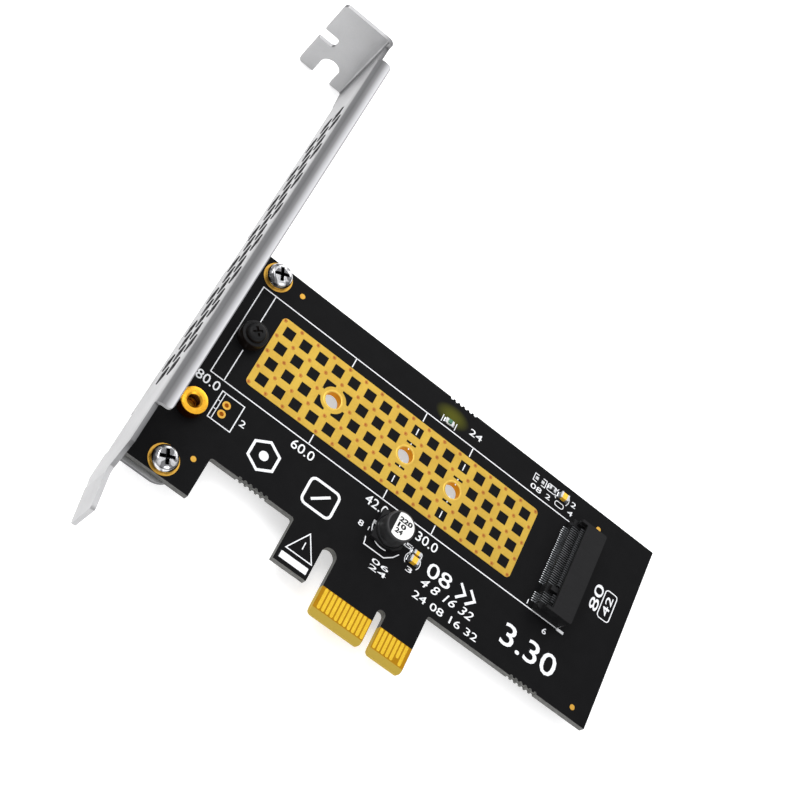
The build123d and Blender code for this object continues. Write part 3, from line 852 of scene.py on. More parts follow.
# The brass standoff's upright side and its bore are painted dark as shade
BRASS = TurnedMetal(
    "standoff_brass",
    0xF8BC38,
    0xE09A20,
    metal=0.9,
    rough=0.24,
    side=0x5E2A12,
    pits=(Pit(SPARE_POST, 1.27, 3.1),),
    pit_shade=0x4A2410,
)
SOCKET_BLACK = MouldedPlastic("socket_moulding", 0x161617, 0x1D1D1E, rough=0.45, gloss=0.1)
BASE_BLACK = MouldedPlastic("base_moulding", 0x171718, 0x1F1F20, rough=0.5, gloss=0.15)
RESISTOR_BODY = MouldedPlastic("resistor_body", 0x121213, 0x1E1E20, rough=0.38)
LAMP_BASE = MouldedPlastic("lamp_base_moulding", 0xE8E8E0, 0xF4F4F0, rough=0.4)
CAN = CanSleeve("can_lacquer")
CERAMIC = Ceramic("chip_ceramic_body")
LENS = LampLens("lamp_lens_cap")
INK = PrintInk("print_ink")
DARK_INK = PrintInk("can_print_ink", 0x0C0C0D, 0x1C1C1E)
PAPER = PaleFloor("floor_paper")


# Meshes

# Points closer than WELD become one and edges shorter than SLIVER go, both in metres
WELD = 2e-7
SLIVER = 1e-8

# The least cosine between a line's side and its mitre, which keeps a sharp corner short
MITRE_LIMIT = 0.35

# A thread's rings in one turn, and its depth as a share of its pitch
RINGS_PER_TURN = 6
THREAD_DEPTH = 0.42


def circle(x: float, y: float, radius: float, steps: int, start: float = 0.0) -> list[Point2]:
    """Gives points round a circle.

    Args:
        x: its centre along X.
        y: its centre along Y.
        radius: its radius.
        steps: the number of points.
        start: the angle of the first one, in degrees.

    Returns:
        The points, anticlockwise.
    """
    angles = [math.radians(start) + math.tau * step / steps for step in range(steps)]
    return [(x + radius * math.cos(angle), y + radius * math.sin(angle)) for angle in angles]


def arc(x: float, y: float, radius: float, start: float, end: float, steps: int = 12) -> list[Point2]:
    """Gives points along an arc.

    Args:
        x: its centre along X.
        y: its centre along Y.
        radius: its radius.
        start: the first angle, in degrees.
        end: the last angle, in degrees.
        steps: the number of pieces.

    Returns:
        The points from start to end.
    """
    angles = [math.radians(start + (end - start) * step / steps) for step in range(steps + 1)]
    return [(x + radius * math.cos(angle), y + radius * math.sin(angle)) for angle in angles]


def rounded_box(low: Point2, high: Point2, radius: float, steps: int = 4) -> list[Point2]:
    """Gives the outline of a box with round corners.

    Args:
        low: its lower left corner.
        high: its upper right corner.
        radius: the corners' radius.
        steps: the pieces of each corner.

    Returns:
        The outline, anticlockwise.
    """
    (x0, y0), (x1, y1) = low, high
    corners = ((x1 - radius, y0 + radius, -90), (x1 - radius, y1 - radius, 0))
    corners += ((x0 + radius, y1 - radius, 90), (x0 + radius, y0 + radius, 180))
    return [point for x, y, start in corners for point in arc(x, y, radius, start, start + 90, steps)]


class Shell:
    """Collects closed shells, and makes them one mesh object that lies in the card's frame."""

    def __init__(self) -> None:
        """Starts empty."""
        self.points: list[Point3] = []
        self.faces: list[tuple[int, ...]] = []

    def add(self, points: Sequence[Point3], faces: Sequence[Sequence[int]]) -> None:
        """Adds points and the faces between them.

        Args:
            points: the points, in millimetres.
            faces: each face as numbers of those points.
        """
        first = len(self.points)
        self.points += [tuple(point) for point in points]
        self.faces += [tuple(first + number for number in face) for face in faces]

    def take(self, mesh: bpy.types.Mesh, place: Matrix | None = None) -> None:
        """Adds a finished mesh.

        Args:
            mesh: the mesh, which is removed after that.
            place: where it goes, in millimetres; without it the mesh is in metres and in place.
        """
        move = place if place is not None else Matrix.Scale(1 / MM, 4)
        points = [move @ vertex.co for vertex in mesh.vertices]
        self.add(points, [tuple(face.vertices) for face in mesh.polygons])
        bpy.data.meshes.remove(mesh)

    def prism(self, outline: Sequence[Point2], low: float, high: float) -> None:
        """Adds an upright prism.

        Args:
            outline: its outline seen from above.
            low: the height of its underside.
            high: the height of its top.
        """
        count = len(outline)
        points = [(x, y, z) for z in (low, high) for x, y in outline]
        faces = [list(range(count))[::-1], [count + number for number in range(count)]]
        for number in range(count):
            after = (number + 1) % count
            faces.append([number, after, count + after, count + number])
        self.add(points, faces)

    def stroke(
        self, line: Sequence[Point2], width: float, low: float, high: float, closed: bool = False
    ) -> None:
        """Adds a flat band along a line, with mitred corners.

        Args:
            line: the middle of the band.
            width: how wide it is.
            low: the height of its underside.
            high: the height of its top.
            closed: whether it goes back to its first point.
        """
        count = len(line)
        spots = [Vector(point) for point in line]
        lefts, rights = [], []
        for number, spot in enumerate(spots):
            before = spots[number - 1] if closed or number > 0 else None
            after = spots[(number + 1) % count] if closed or number < count - 1 else None
            ways = [(spot - before).normalized()] if before is not None else []
            ways += [(after - spot).normalized()] if after is not None else []
            sides = [Vector((-way.y, way.x)) for way in ways]
            middle = sum(sides, Vector((0.0, 0.0))).normalized()
            reach = width / 2 / max(middle.dot(sides[0]), MITRE_LIMIT)
            lefts.append(spot + middle * reach)
            rights.append(spot - middle * reach)
        points = [(spot.x, spot.y, z) for z in (low, high) for side in (lefts, rights) for spot in side]
        low_left, low_right, high_left, high_right = (count * part for part in range(4))
        faces = []
        for number in range(count if closed else count - 1):
            after = (number + 1) % count
            faces.append([high_left + number, high_right + number, high_right + after, high_left + after])
            faces.append([low_left + after, low_right + after, low_right + number, low_left + number])
            faces.append([low_left + number, high_left + number, high_left + after, low_left + after])
            faces.append([low_right + after, high_right + after, high_right + number, low_right + number])
        if not closed:
            for number, turn in ((0, 1), (count - 1, -1)):
                end = [low_left + number, low_right + number, high_right + number, high_left + number]
                faces.append(end[::turn])
        self.add(points, faces)

    def skin(self, rings: Sequence[Sequence[Point3]], loop: bool = False) -> None:
        """Adds a closed shell over rings of points.

        Args:
            rings: the rings, each with as many points as the next.
            loop: whether the last ring joins the first; otherwise each end is closed at its middle.
        """
        count = len(rings[0])
        points = [point for ring in rings for point in ring]
        faces = []
        for number in range(len(rings) if loop else len(rings) - 1):
            here, there = number * count, (number + 1) % len(rings) * count
            for step in range(count):
                after = (step + 1) % count
                faces.append([here + step, here + after, there + after, there + step])
        if not loop:
            for ring, turn in ((0, -1), (len(rings) - 1, 1)):
                middle = sum((Vector(point) for point in rings[ring]), Vector((0.0, 0.0, 0.0))) / count
                points.append(tuple(middle))
                for step in range(count):
                    face = [ring * count + step, ring * count + (step + 1) % count, len(points) - 1]
                    faces.append(face[::turn])
        self.add(points, faces)

    def turned(
        self, x: float, y: float, profile: Sequence[Point2], sides: int = 48, loop: bool = False
    ) -> None:
        """Adds a shape turned on an upright axis.

        Args:
            x: the axis along X.
            y: the axis along Y.
            profile: radius and height along its outline.
            sides: the number of sides.
            loop: whether the outline closes on itself, as a tube's does.
        """
        rings = [[(px, py, z) for px, py in circle(x, y, radius, sides)] for radius, z in profile]
        self.skin(rings, loop)

    def text(
        self,
        words: str,
        low: Point2,
        high: Point2,
        heights: Point2,
        turn: float = 0.0,
        slant: float = 0.0,
        weight: float = 0.004,
    ) -> None:
        """Adds figures that fill a box.

        Args:
            words: the figures.
            low: the lower left corner of the box as the card lies.
            high: the upper right corner of it.
            heights: the underside and the top of the figures.
            turn: how far they are turned, in whole quarter turns of degrees.
            slant: how far they lean.
            weight: how much fuller the strokes are than the plain ones.
        """
        curve = bpy.data.curves.new("figures", "FONT")
        curve.body = words
        curve.resolution_u = 3
        curve.extrude = 0.5
        curve.shear = slant
        curve.offset = weight
        carrier = bpy.data.objects.new("figures", curve)
        bpy.context.scene.collection.objects.link(carrier)
        grown = carrier.evaluated_get(bpy.context.evaluated_depsgraph_get())
        mesh = bpy.data.meshes.new_from_object(grown)
        bpy.data.objects.remove(carrier)
        bpy.data.curves.remove(curve)
        mesh.transform(Matrix.Rotation(math.radians(turn), 4, "Z"))
        spans = [(min(values), max(values)) for values in zip(*(vertex.co for vertex in mesh.vertices))]
        wanted = [(low[0], high[0]), (low[1], high[1]), heights]
        place = Matrix.Identity(4)
        for axis, ((start, end), (first, last)) in enumerate(zip(spans, wanted)):
            place[axis][axis] = (last - first) / (end - start)
            place[axis][3] = first - start * place[axis][axis]
        self.take(mesh, place)

    def finish(
        self, name: str, finish: Finish, slot: Slot, replaces: Sequence[str] = (), crease: float = 35.0
    ) -> None:
        """Makes the piece and gives it its place on the card.

        Args:
            name: the piece's name.
            finish: what it is made of.
            slot: the record's slot that its finish stands for; it is not used.
            replaces: the CAD nodes that it stands for.
            crease: the angle in degrees past which an edge stays sharp.
        """
        mesh = bpy.data.meshes.new(name)
        mesh.from_pydata([tuple(c * MM for c in point) for point in self.points], [], self.faces)
        work = bmesh.new()
        work.from_mesh(mesh)
        bmesh.ops.remove_doubles(work, verts=work.verts, dist=WELD)
        bmesh.ops.dissolve_degenerate(work, edges=work.edges, dist=SLIVER)
        bmesh.ops.recalc_face_normals(work, faces=work.faces)
        work.to_mesh(mesh)
        work.free()
        mesh.polygons.foreach_set("use_smooth", [True] * len(mesh.polygons))
        mesh.set_sharp_from_angle(angle=math.radians(crease))
        mesh.materials.append(finish.material())
        piece = bpy.data.objects.new(name, mesh)
        bpy.context.scene.collection.objects.link(piece)
        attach(piece, "root")
        if replaces:
            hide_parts(*replaces)
        log.info("made %s: %d faces", name, len(mesh.polygons))


class Pattern(Graph):
    """A Geometry Nodes tree that lays out a repeated form from named sizes."""

    def __init__(self, name: str) -> None:
        """Makes the empty tree.

        Args:
            name: the tree's name.
        """
        super().__init__(bpy.data.node_groups.new(name, "GeometryNodeTree"))
        self.name = name
        self.given: dict[str, object] = {}
        self.tree.interface.new_socket("Geometry", in_out="OUTPUT", socket_type="NodeSocketGeometry")
        self.entry = self.node("NodeGroupInput")
        self.exit = self.node("NodeGroupOutput")

    def size(self, name: str, value: float | int | Point3) -> bpy.types.NodeSocket:
        """Adds a named input.

        Args:
            name: what the size is.
            value: its value; an int makes a whole number, three numbers a vector.

        Returns:
            The socket that carries it inside the tree.
        """
        kinds = {int: "NodeSocketInt", tuple: "NodeSocketVector"}
        kind = kinds.get(type(value), "NodeSocketFloat")
        made = self.tree.interface.new_socket(name, in_out="INPUT", socket_type=kind)
        self.given[made.identifier] = value
        return next(output for output in self.entry.outputs if output.identifier == made.identifier)

    def line(self, count: int, start: Point3, step: Point3) -> bpy.types.NodeSocket:
        """Lays places out along a line.

        Args:
            count: how many places there are.
            start: the first place, in millimetres.
            step: the way from one to the next, in millimetres.

        Returns:
            The places.
        """
        made = self.node(
            "GeometryNodeMeshLine",
            {"mode": "OFFSET", "count_mode": "TOTAL"},
            {
                "Count": self.size("Count", count),
                "Start Location": self.size("Start", tuple(part * MM for part in start)),
                "Offset": self.size("Pitch", tuple(part * MM for part in step)),
            },
        )
        return made.outputs[0]

    def repeat(
        self, places: bpy.types.NodeSocket, form: bpy.types.NodeSocket, **more: object
    ) -> bpy.types.NodeSocket:
        """Puts a form on every place.

        Args:
            places: the places.
            form: what stands on each.
            more: what the other inputs of the node take, such as Scale or Selection.

        Returns:
            The instances.
        """
        sockets = {"Points": places, "Instance": form, **more}
        return self.node("GeometryNodeInstanceOnPoints", {}, sockets).outputs[0]

    def close(self, form: bpy.types.NodeSocket, finish: Finish) -> None:
        """Ends the tree: real geometry with its material.

        Args:
            form: the geometry with its instances.
            finish: what it is made of.
        """
        real = self.node("GeometryNodeRealizeInstances", {}, {"Geometry": form})
        dressed = self.node(
            "GeometryNodeSetMaterial", {}, {"Geometry": real.outputs[0], "Material": finish.material()}
        )
        self.plug(self.exit.inputs[0], dressed.outputs[0])

    def thicken(self, flat: bpy.types.NodeSocket, thickness: object) -> bpy.types.NodeSocket:
        """Gives a flat face a closed body.

        Args:
            flat: the face.
            thickness: how far it reaches up.

        Returns:
            The closed body.
        """
        raised = self.node(
            "GeometryNodeExtrudeMesh",
            {"mode": "FACES"},
            {"Mesh": flat, "Offset Scale": thickness, "Individual": False},
        )
        under = self.node("GeometryNodeFlipFaces", {}, {"Mesh": flat})
        both = self.node("GeometryNodeJoinGeometry")
        for part in (raised.outputs[0], under.outputs[0]):
            self.plug(both.inputs[0], part)
        near = {"Geometry": both.outputs[0], "Distance": WELD / 2}
        return self.node("GeometryNodeMergeByDistance", {}, near).outputs[0]

    def grow(self) -> bpy.types.Mesh:
        """Runs the tree and hands back the result.

        Returns:
            A plain mesh in metres, with no modifier.
        """
        carrier = bpy.data.objects.new(self.name, bpy.data.meshes.new(self.name))
        modifier = carrier.modifiers.new(self.name, "NODES")
        modifier.node_group = self.tree
        for identifier, value in self.given.items():
            modifier[identifier] = value
        bpy.context.scene.collection.objects.link(carrier)
        grown = carrier.evaluated_get(bpy.context.evaluated_depsgraph_get())
        mesh = bpy.data.meshes.new_from_object(grown)
        carrier.modifiers.clear()
        bpy.data.objects.remove(carrier)
        return mesh


def dress(node: str, finish: Finish) -> None:
    """Gives a CAD node its finish.

    Args:
        node: the node's name.
        finish: what it is made of.
    """
    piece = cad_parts[node]
    for place in piece.material_slots:
        place.material = finish.material()
    log.info("dressed %s with %s", node, finish.name)


# Sub-assemblies


@dataclass
class CircuitBoard:
    """The black board with its lands and rings."""

    lands: tuple[str, ...] = ("alignment_marks", "screw_lands", "header_eyelets", "drive_hole_eyelets")
    rim_radii: Point2 = (1.74, 2.16)
    rim_lift: float = 0.03
    rim_sunk: float = 0.01

    def build(self) -> None:
        """Dresses the board and its lands, and adds the raised plated rims of the drive holes."""
        dress("circuit_board", BOARD)
        for land in self.lands:
            dress(land, LAND_GOLD)
        dress("empty_lands", TIN)
        self.plated_rims()

    def plated_rims(self) -> None:
        """Makes the rounded rims of plating round the open drive holes."""
        inner, outer = self.rim_radii
        middle, half = (inner + outer) / 2, (outer - inner) / 2
        bottom, rise = LAND_TOP - self.rim_sunk, self.rim_lift + self.rim_sunk
        unit = circle(0.0, 0.0, 1.0, 12)
        bead = [(middle + half * across, bottom + rise * up) for across, up in unit]
        shell = Shell()
        for x, y in OPEN_SEATS:
            shell.turned(x, y, bead, 40, loop=True)
        shell.finish("drive_hole_rims", PAD_RIM, Slot.PAD_GOLD)


@dataclass
class EdgeFingers:
    """The gold fingers that enter the slot, with round ends."""

    width: float = 0.7
    end_share: float = 0.96
    thickness: float = 0.05
    pitch: float = 1.0
    bottom: float = node_span("edge_contacts_front", 1)[0]
    top: float = node_span("edge_contacts_front", 1)[1]
    short_bottom: float = 2.6
    # The first finger, the counts on both sides of the key notch, and the step to the first one past it
    first: float = -11.5
    before_key: int = 11
    after_key: int = 7
    key_step: float = 13.0

    def runs(self, side: Side) -> list[tuple[float, int, float]]:
        """Lists the rows of one face; on the front the last finger but one is short.

        Args:
            side: the face.

        Returns:
            The X of the first finger, the count and the lower end of each row.
        """
        before = (self.first, self.before_key, self.bottom)
        after = self.first + self.key_step
        if side is Side.BACK:
            return [before, (after, self.after_key, self.bottom)]
        long = self.after_key - 2
        short = after + long * self.pitch
        return [
            before,
            (after, long, self.bottom),
            (short, 1, self.short_bottom),
            (short + self.pitch, 1, self.bottom),
        ]

    def row(self, x: float, count: int, bottom: float, level: float) -> bpy.types.Mesh:
        """Grows one row of fingers.

        Args:
            x: the middle of the first finger.
            count: how many fingers there are.
            bottom: the lower end of each.
            level: the height of the underside.

        Returns:
            The row as a plain mesh.
        """
        tree = Pattern("finger_row")
        box = tree.node(
            "GeometryNodeCurvePrimitiveQuadrilateral",
            {"mode": "RECTANGLE"},
            {
                "Width": tree.size("Width", self.width * MM),
                "Height": tree.size("Length", (self.top - bottom) * MM),
            },
        )
        radius = tree.size("End radius", self.width / 2 * MM * self.end_share)
        rounded = tree.node(
            "GeometryNodeFilletCurve",
            {"mode": "POLY"},
            {"Curve": box.outputs[0], "Count": 6, "Radius": radius},
        )
        flat = tree.node("GeometryNodeFillCurve", {"mode": "NGONS"}, {"Curve": rounded.outputs[0]})
        finger = tree.thicken(flat.outputs[0], tree.size("Thickness", self.thickness * MM))
        places = tree.line(count, (x, (self.top + bottom) / 2, level), (self.pitch, 0.0, 0.0))
        tree.close(tree.repeat(places, finger), FINGER_GOLD)
        return tree.grow()

    def build(self) -> None:
        """Makes the fingers of both faces."""
        for side, level in ((Side.FRONT, TOP), (Side.BACK, -LAND_TOP)):
            shell = Shell()
            for x, count, bottom in self.runs(side):
                shell.take(self.row(x, count, bottom, level))
            name = side.name.lower()
            shell.finish(f"edge_fingers_{name}", FINGER_GOLD, Slot.CONTACT_GOLD, [f"edge_contacts_{name}"])


@dataclass
class HeatPad:
    """The gold pad under the drive with its grid of plated vias."""

    columns: int = 17
    rows: int = 5
    pitch: float = 4.0
    ring_radius: float = 0.32
    ring_bead: float = 0.13
    ring_flatness: float = 0.35
    cup_radius: float = 0.31
    cup_lift: float = 0.02
    # No via lies nearer than this to the middle of an open seat
    hole_clear: float = 2.5

    def grid(self, tree: Pattern) -> bpy.types.NodeSocket:
        """Lays the vias' places out.

        Args:
            tree: the tree that they go into.

        Returns:
            The places.
        """
        columns = tree.size("Columns", self.columns)
        rows = tree.size("Rows", self.rows)
        across = tree.size("Width", (self.columns - 1) * self.pitch * MM)
        along = tree.size("Depth", (self.rows - 1) * self.pitch * MM)
        centre = tree.size("Centre", (PAD_MIDDLE[0] * MM, PAD_MIDDLE[1] * MM, LAND_TOP * MM))
        net = tree.node(
            "GeometryNodeMeshGrid",
            {},
            {"Size X": across, "Size Y": along, "Vertices X": columns, "Vertices Y": rows},
        ).outputs[0]
        return tree.node("GeometryNodeTransform", {}, {"Geometry": net, "Translation": centre}).outputs[0]

    def spared(self, tree: Pattern) -> Signal:
        """Picks the places that are clear of the drive holes.

        Args:
            tree: the tree that they are in.

        Returns:
            1 at each place that gets a via, and 0 on a hole.
        """
        place = tree.node("GeometryNodeInputPosition").outputs[0]
        clear = tree.size("Clear of holes", self.hole_clear * MM)
        far = []
        for x, y in OPEN_SEATS:
            apart = tree.node(
                "ShaderNodeVectorMath",
                {"operation": "DISTANCE"},
                {0: place, 1: (x * MM, y * MM, LAND_TOP * MM)},
            )
            away = Signal(tree, apart.outputs["Value"])
            far.append(away.combine("GREATER_THAN", away, clear))
        return math.prod(far[1:], start=far[0])

    def layer(self, tree: Pattern, form: bpy.types.Node, finish: Finish, crease: float) -> None:
        """Puts a form on every via's place and makes the piece, which has the tree's name.

        Args:
            tree: the tree that the form is in.
            form: the node that makes what lies on each via.
            finish: what it is made of.
            crease: the angle in degrees past which an edge stays sharp.
        """
        laid = tree.repeat(self.grid(tree), form.outputs[0], Selection=self.spared(tree))
        tree.close(laid, finish)
        shell = Shell()
        shell.take(tree.grow())
        shell.finish(tree.name, finish, Slot.PAD_GOLD, crease=crease)

    def rings(self) -> None:
        """Makes the flattened copper ring round each via."""
        tree = Pattern("via_rings")
        radius = tree.size("Radius", self.ring_radius * MM)
        bead = tree.size("Bead", self.ring_bead * MM)
        path = tree.node("GeometryNodeCurvePrimitiveCircle", {}, {"Resolution": 16, "Radius": radius})
        section = tree.node("GeometryNodeCurvePrimitiveCircle", {}, {"Resolution": 6, "Radius": bead})
        tube = tree.node(
            "GeometryNodeCurveToMesh", {}, {"Curve": path.outputs[0], "Profile Curve": section.outputs[0]}
        )
        flatness = tree.size("Flatness", (1.0, 1.0, self.ring_flatness))
        flat = tree.node("GeometryNodeTransform", {}, {"Geometry": tube.outputs[0], "Scale": flatness})
        self.layer(tree, flat, COPPER, 60.0)

    def cups(self) -> None:
        """Makes the darker cup inside each ring."""
        tree = Pattern("via_cups")
        radius = tree.size("Radius", self.cup_radius * MM)
        lift = tree.size("Lift", self.cup_lift * MM)
        sizes = {"Vertices": 16, "Radius": radius, "Depth": lift}
        self.layer(tree, tree.node("GeometryNodeMeshCylinder", {"fill_type": "NGON"}, sizes), VIA_CUP, 35.0)

    def build(self) -> None:
        """Dresses the pad and adds the rings and cups of its vias."""
        dress("heat_pad", PAD_GOLD)
        self.rings()
        self.cups()


@dataclass(frozen=True)
class Label:
    """Printed figures and the box that they fill, as the card lies."""

    words: str
    low: Point2
    high: Point2
    turn: float = 0.0
    slant: float = 0.0


@dataclass
class BoardPrint:
    """The white print on the board: drive outline, sizes, marks and plain signs."""

    line: float = 0.22
    thin: float = 0.17
    bold: float = 0.55
    heights: Point2 = (TOP - 0.005, TOP + 0.018)
    # The drive's outline, the gap at the post in the line of its seat, and the ticks at the open seats
    outline_x: Point2 = (-51.2, 28.0)
    outline_y: Point2 = (28.3, 50.5)
    outline_end: float = 34.6
    post_gap: Point2 = (36.2, 42.6)
    tick: float = 2.3
    # The short marks that show in the pad's windows
    window_rows: tuple[float, ...] = (33.4, 37.2, 41.6, 45.4)
    window_reach: float = 0.8
    # The box of the header and the figures, whose places were read in the photograph
    header_x: Point2 = (-47.3, -42.2)
    header_y: Point2 = (20.2, 26.4)
    header_rail: float = -46.55
    header_marks: Point2 = (24.3, 22.4)
    header_label: Label = Label("2", (-41.5, 22.5), (-40.3, 23.9))
    lengths: tuple[Label, ...] = (
        Label("80.0", (-53.3, 25.45), (-48.1, 27.5)),
        Label("60.0", (-31.1, 25.45), (-25.9, 27.5)),
        Label("42.0", (-13.2, 25.45), (-8.0, 27.5)),
        Label("30.0", (-0.7, 25.45), (4.4, 27.5)),
    )
    figures: tuple[Label, ...] = (
        Label("08", (4.3, 20.5), (10.0, 23.7)),
        Label("4 8 16 32", (4.2, 18.0), (17.0, 19.9), slant=0.3),
        Label("24 08 16 32", (3.8, 15.0), (19.6, 16.6)),
        Label("3.30", (23.9, 18.2), (37.4, 23.0)),
        Label("80", (38.7, 36.8), (40.9, 42.9), turn=90.0),
        Label("42", (42.0, 37.4), (43.6, 41.9), turn=90.0),
        Label("06", (-6.5, 15.9), (-2.5, 16.9)),
        Label("24", (-6.5, 14.5), (-2.5, 15.5)),
    )
    designators: tuple[Label, ...] = (
        Label("24", (-0.4, 52.6), (2.7, 54.1)),
        Label("6", (31.5, 25.5), (32.5, 26.8)),
        Label("8", (-12.3, 20.7), (-11.2, 21.9)),
        Label("5", (-1.9, 22.9), (-0.3, 23.9)),
        Label("3", (0.3, 18.7), (1.7, 19.8)),
        Label("2", (26.4, 53.8), (27.6, 55.0)),
        Label("4", (26.3, 51.7), (27.6, 52.8)),
        Label("08", (16.4, 51.5), (19.2, 52.7)),
        Label("2", (20.4, 51.6), (21.6, 52.7)),
    )
    shell: Shell = field(default_factory=Shell)

    def draw(self, line: Sequence[Point2], width: float, closed: bool = False) -> None:
        """Prints one line."""
        self.shell.stroke(line, width, *self.heights, closed)

    def letter(self, labels: Sequence[Label]) -> None:
        """Prints figures, each in its own box."""
        for label in labels:
            self.shell.text(label.words, label.low, label.high, self.heights, label.turn, label.slant)

    def drive_outline(self) -> None:
        """Prints the place of the drive with a tick at each seat."""
        (left, right), (low, high) = self.outline_x, self.outline_y
        post = DRIVE_POST[0]
        self.draw([(self.outline_end, low), (left, low), (left, high), (right, high)], self.line)
        self.draw([(post, high), (post, self.post_gap[1])], self.line)
        self.draw([(post, self.post_gap[0]), (post, low)], self.line)
        for x, _ in OPEN_SEATS:
            self.draw([(x, high), (x, high - self.tick)], self.line)
            self.draw([(x, low), (x, low + self.tick)], self.line)
        for x, _ in OPEN_SEATS[1:]:
            for y in self.window_rows:
                self.draw([(x, y - self.window_reach), (x, y + self.window_reach)], self.line)

    def header_box(self) -> None:
        """Prints the box round the two header holes, with a rail and a figure beside it."""
        (left, right), (low, high) = self.header_x, self.header_y
        self.draw([(left, low), (right, low), (right, high), (left, high)], self.line, True)
        self.draw([(self.header_rail, low), (self.header_rail, high)], self.thin)
        for y in self.header_marks:
            self.draw([(left, y), (self.header_rail, y)], self.thin)
        self.letter([self.header_label])

    def plain_signs(self) -> None:
        """Prints generic signs where the board has room for them."""
        nut = (-34.4, 20.45)
        self.draw(circle(*nut, 3.25, 6, 30.0), self.bold, True)
        self.shell.prism(circle(*nut, 1.0, 20), *self.heights)
        self.draw(rounded_box((-24.3, 17.5), (-17.6, 23.3), 1.1), self.bold, True)
        self.draw([(-22.6, 19.1), (-19.3, 21.7)], self.bold)
        self.draw([(-22.3, 7.9), (-16.4, 7.9), (-19.35, 13.0)], self.line, True)
        self.draw([(-19.35, 9.4), (-19.35, 11.0)], self.line)
        self.shell.prism([(-22.7, 5.5), (-16.5, 5.5), (-16.5, 6.9), (-22.7, 6.9)], *self.heights)
        for x in (11.9, 14.3):
            self.draw([(x, 20.4), (x + 1.7, 22.1), (x, 23.8)], self.bold)
        self.draw(rounded_box((41.3, 36.4), (44.3, 42.9), 0.7), self.line, True)

    def part_outlines(self) -> None:
        """Prints the outlines round the small parts and the can."""
        thin = self.thin
        self.draw([(-9.9, 20.9), (-9.9, 21.7)], thin)
        for start, way in ((16.4, 1), (19.5, -1)):
            self.draw([(start + way, 55.1), (start, 55.1), (start, 53.4), (start + way, 53.4)], thin)
        self.draw(rounded_box((19.95, 53.5), (22.25, 55.1), 0.4), thin, True)
        for x, y, radius in ((24.0, 54.2, 1.75), (0.9, 21.2, 1.75), (0.9, 22.9, 1.35)):
            for start in (140, -40):
                self.draw(arc(x, y, radius, start, start + 80), thin)
        self.draw(rounded_box((22.9, 51.7), (25.1, 52.8), 0.5), thin, True)
        for x in (-6.9, -3.5):
            self.draw([(x, 51.0), (x, 52.7)], thin)
        self.draw(arc(*CAN_MIDDLE, 3.75, 185, 285, 20), self.line)
        base = [(-9.75, 19.6), (-9.5, 18.9), (-9.4, 18.05), (-4.6, 18.05), (-3.0, 19.3), (-2.1, 20.6)]
        self.draw(base, self.line)
        self.draw([(26.2, 28.9), (26.2, 29.9)], self.line)

    def build(self) -> None:
        """Makes all the print as one piece."""
        self.drive_outline()
        self.letter(self.lengths)
        self.header_box()
        self.plain_signs()
        self.letter(self.figures)
        self.letter(self.designators)
        self.part_outlines()
        self.shell.finish("board_print", INK, Slot.BOARD)


@dataclass
class SlotBracket:
    """The folded bracket; its shape is the CAD's."""

    def build(self) -> None:
        """Dresses the bracket."""
        dress("mounting_bracket", STEEL)


def thread_rings(
    axis: Point2, ends: Point2, radius: float, pitch: float, sides: int = 40
) -> list[list[Point3]]:
    """Gives the rings of a thread.

    Args:
        axis: its axis as seen from above.
        ends: its lower and its upper end.
        radius: its widest radius, the crest of an outside thread or the root of an inside one.
        pitch: the rise of one turn.
        sides: the number of points of each ring.

    Returns:
        The rings from the lower end to the upper one.
    """
    low, high = ends
    count = max(int((high - low) / pitch * RINGS_PER_TURN), 4)
    rings = []
    for number in range(count + 1):
        z = low + (high - low) * number / count
        # The thread runs out over the last half turn at each end
        fade = min(1.0, (z - low) / pitch * 2 + 0.1, (high - z) / pitch * 2 + 0.1)
        ring = []
        for step in range(sides):
            turn = step / sides
            wave = abs(((z / pitch - turn) % 1.0) * 2 - 1)
            reach = radius - pitch * THREAD_DEPTH * fade * wave
            angle = turn * math.tau
            ring.append((axis[0] + reach * math.cos(angle), axis[1] + reach * math.sin(angle), z))
        rings.append(ring)
    return rings


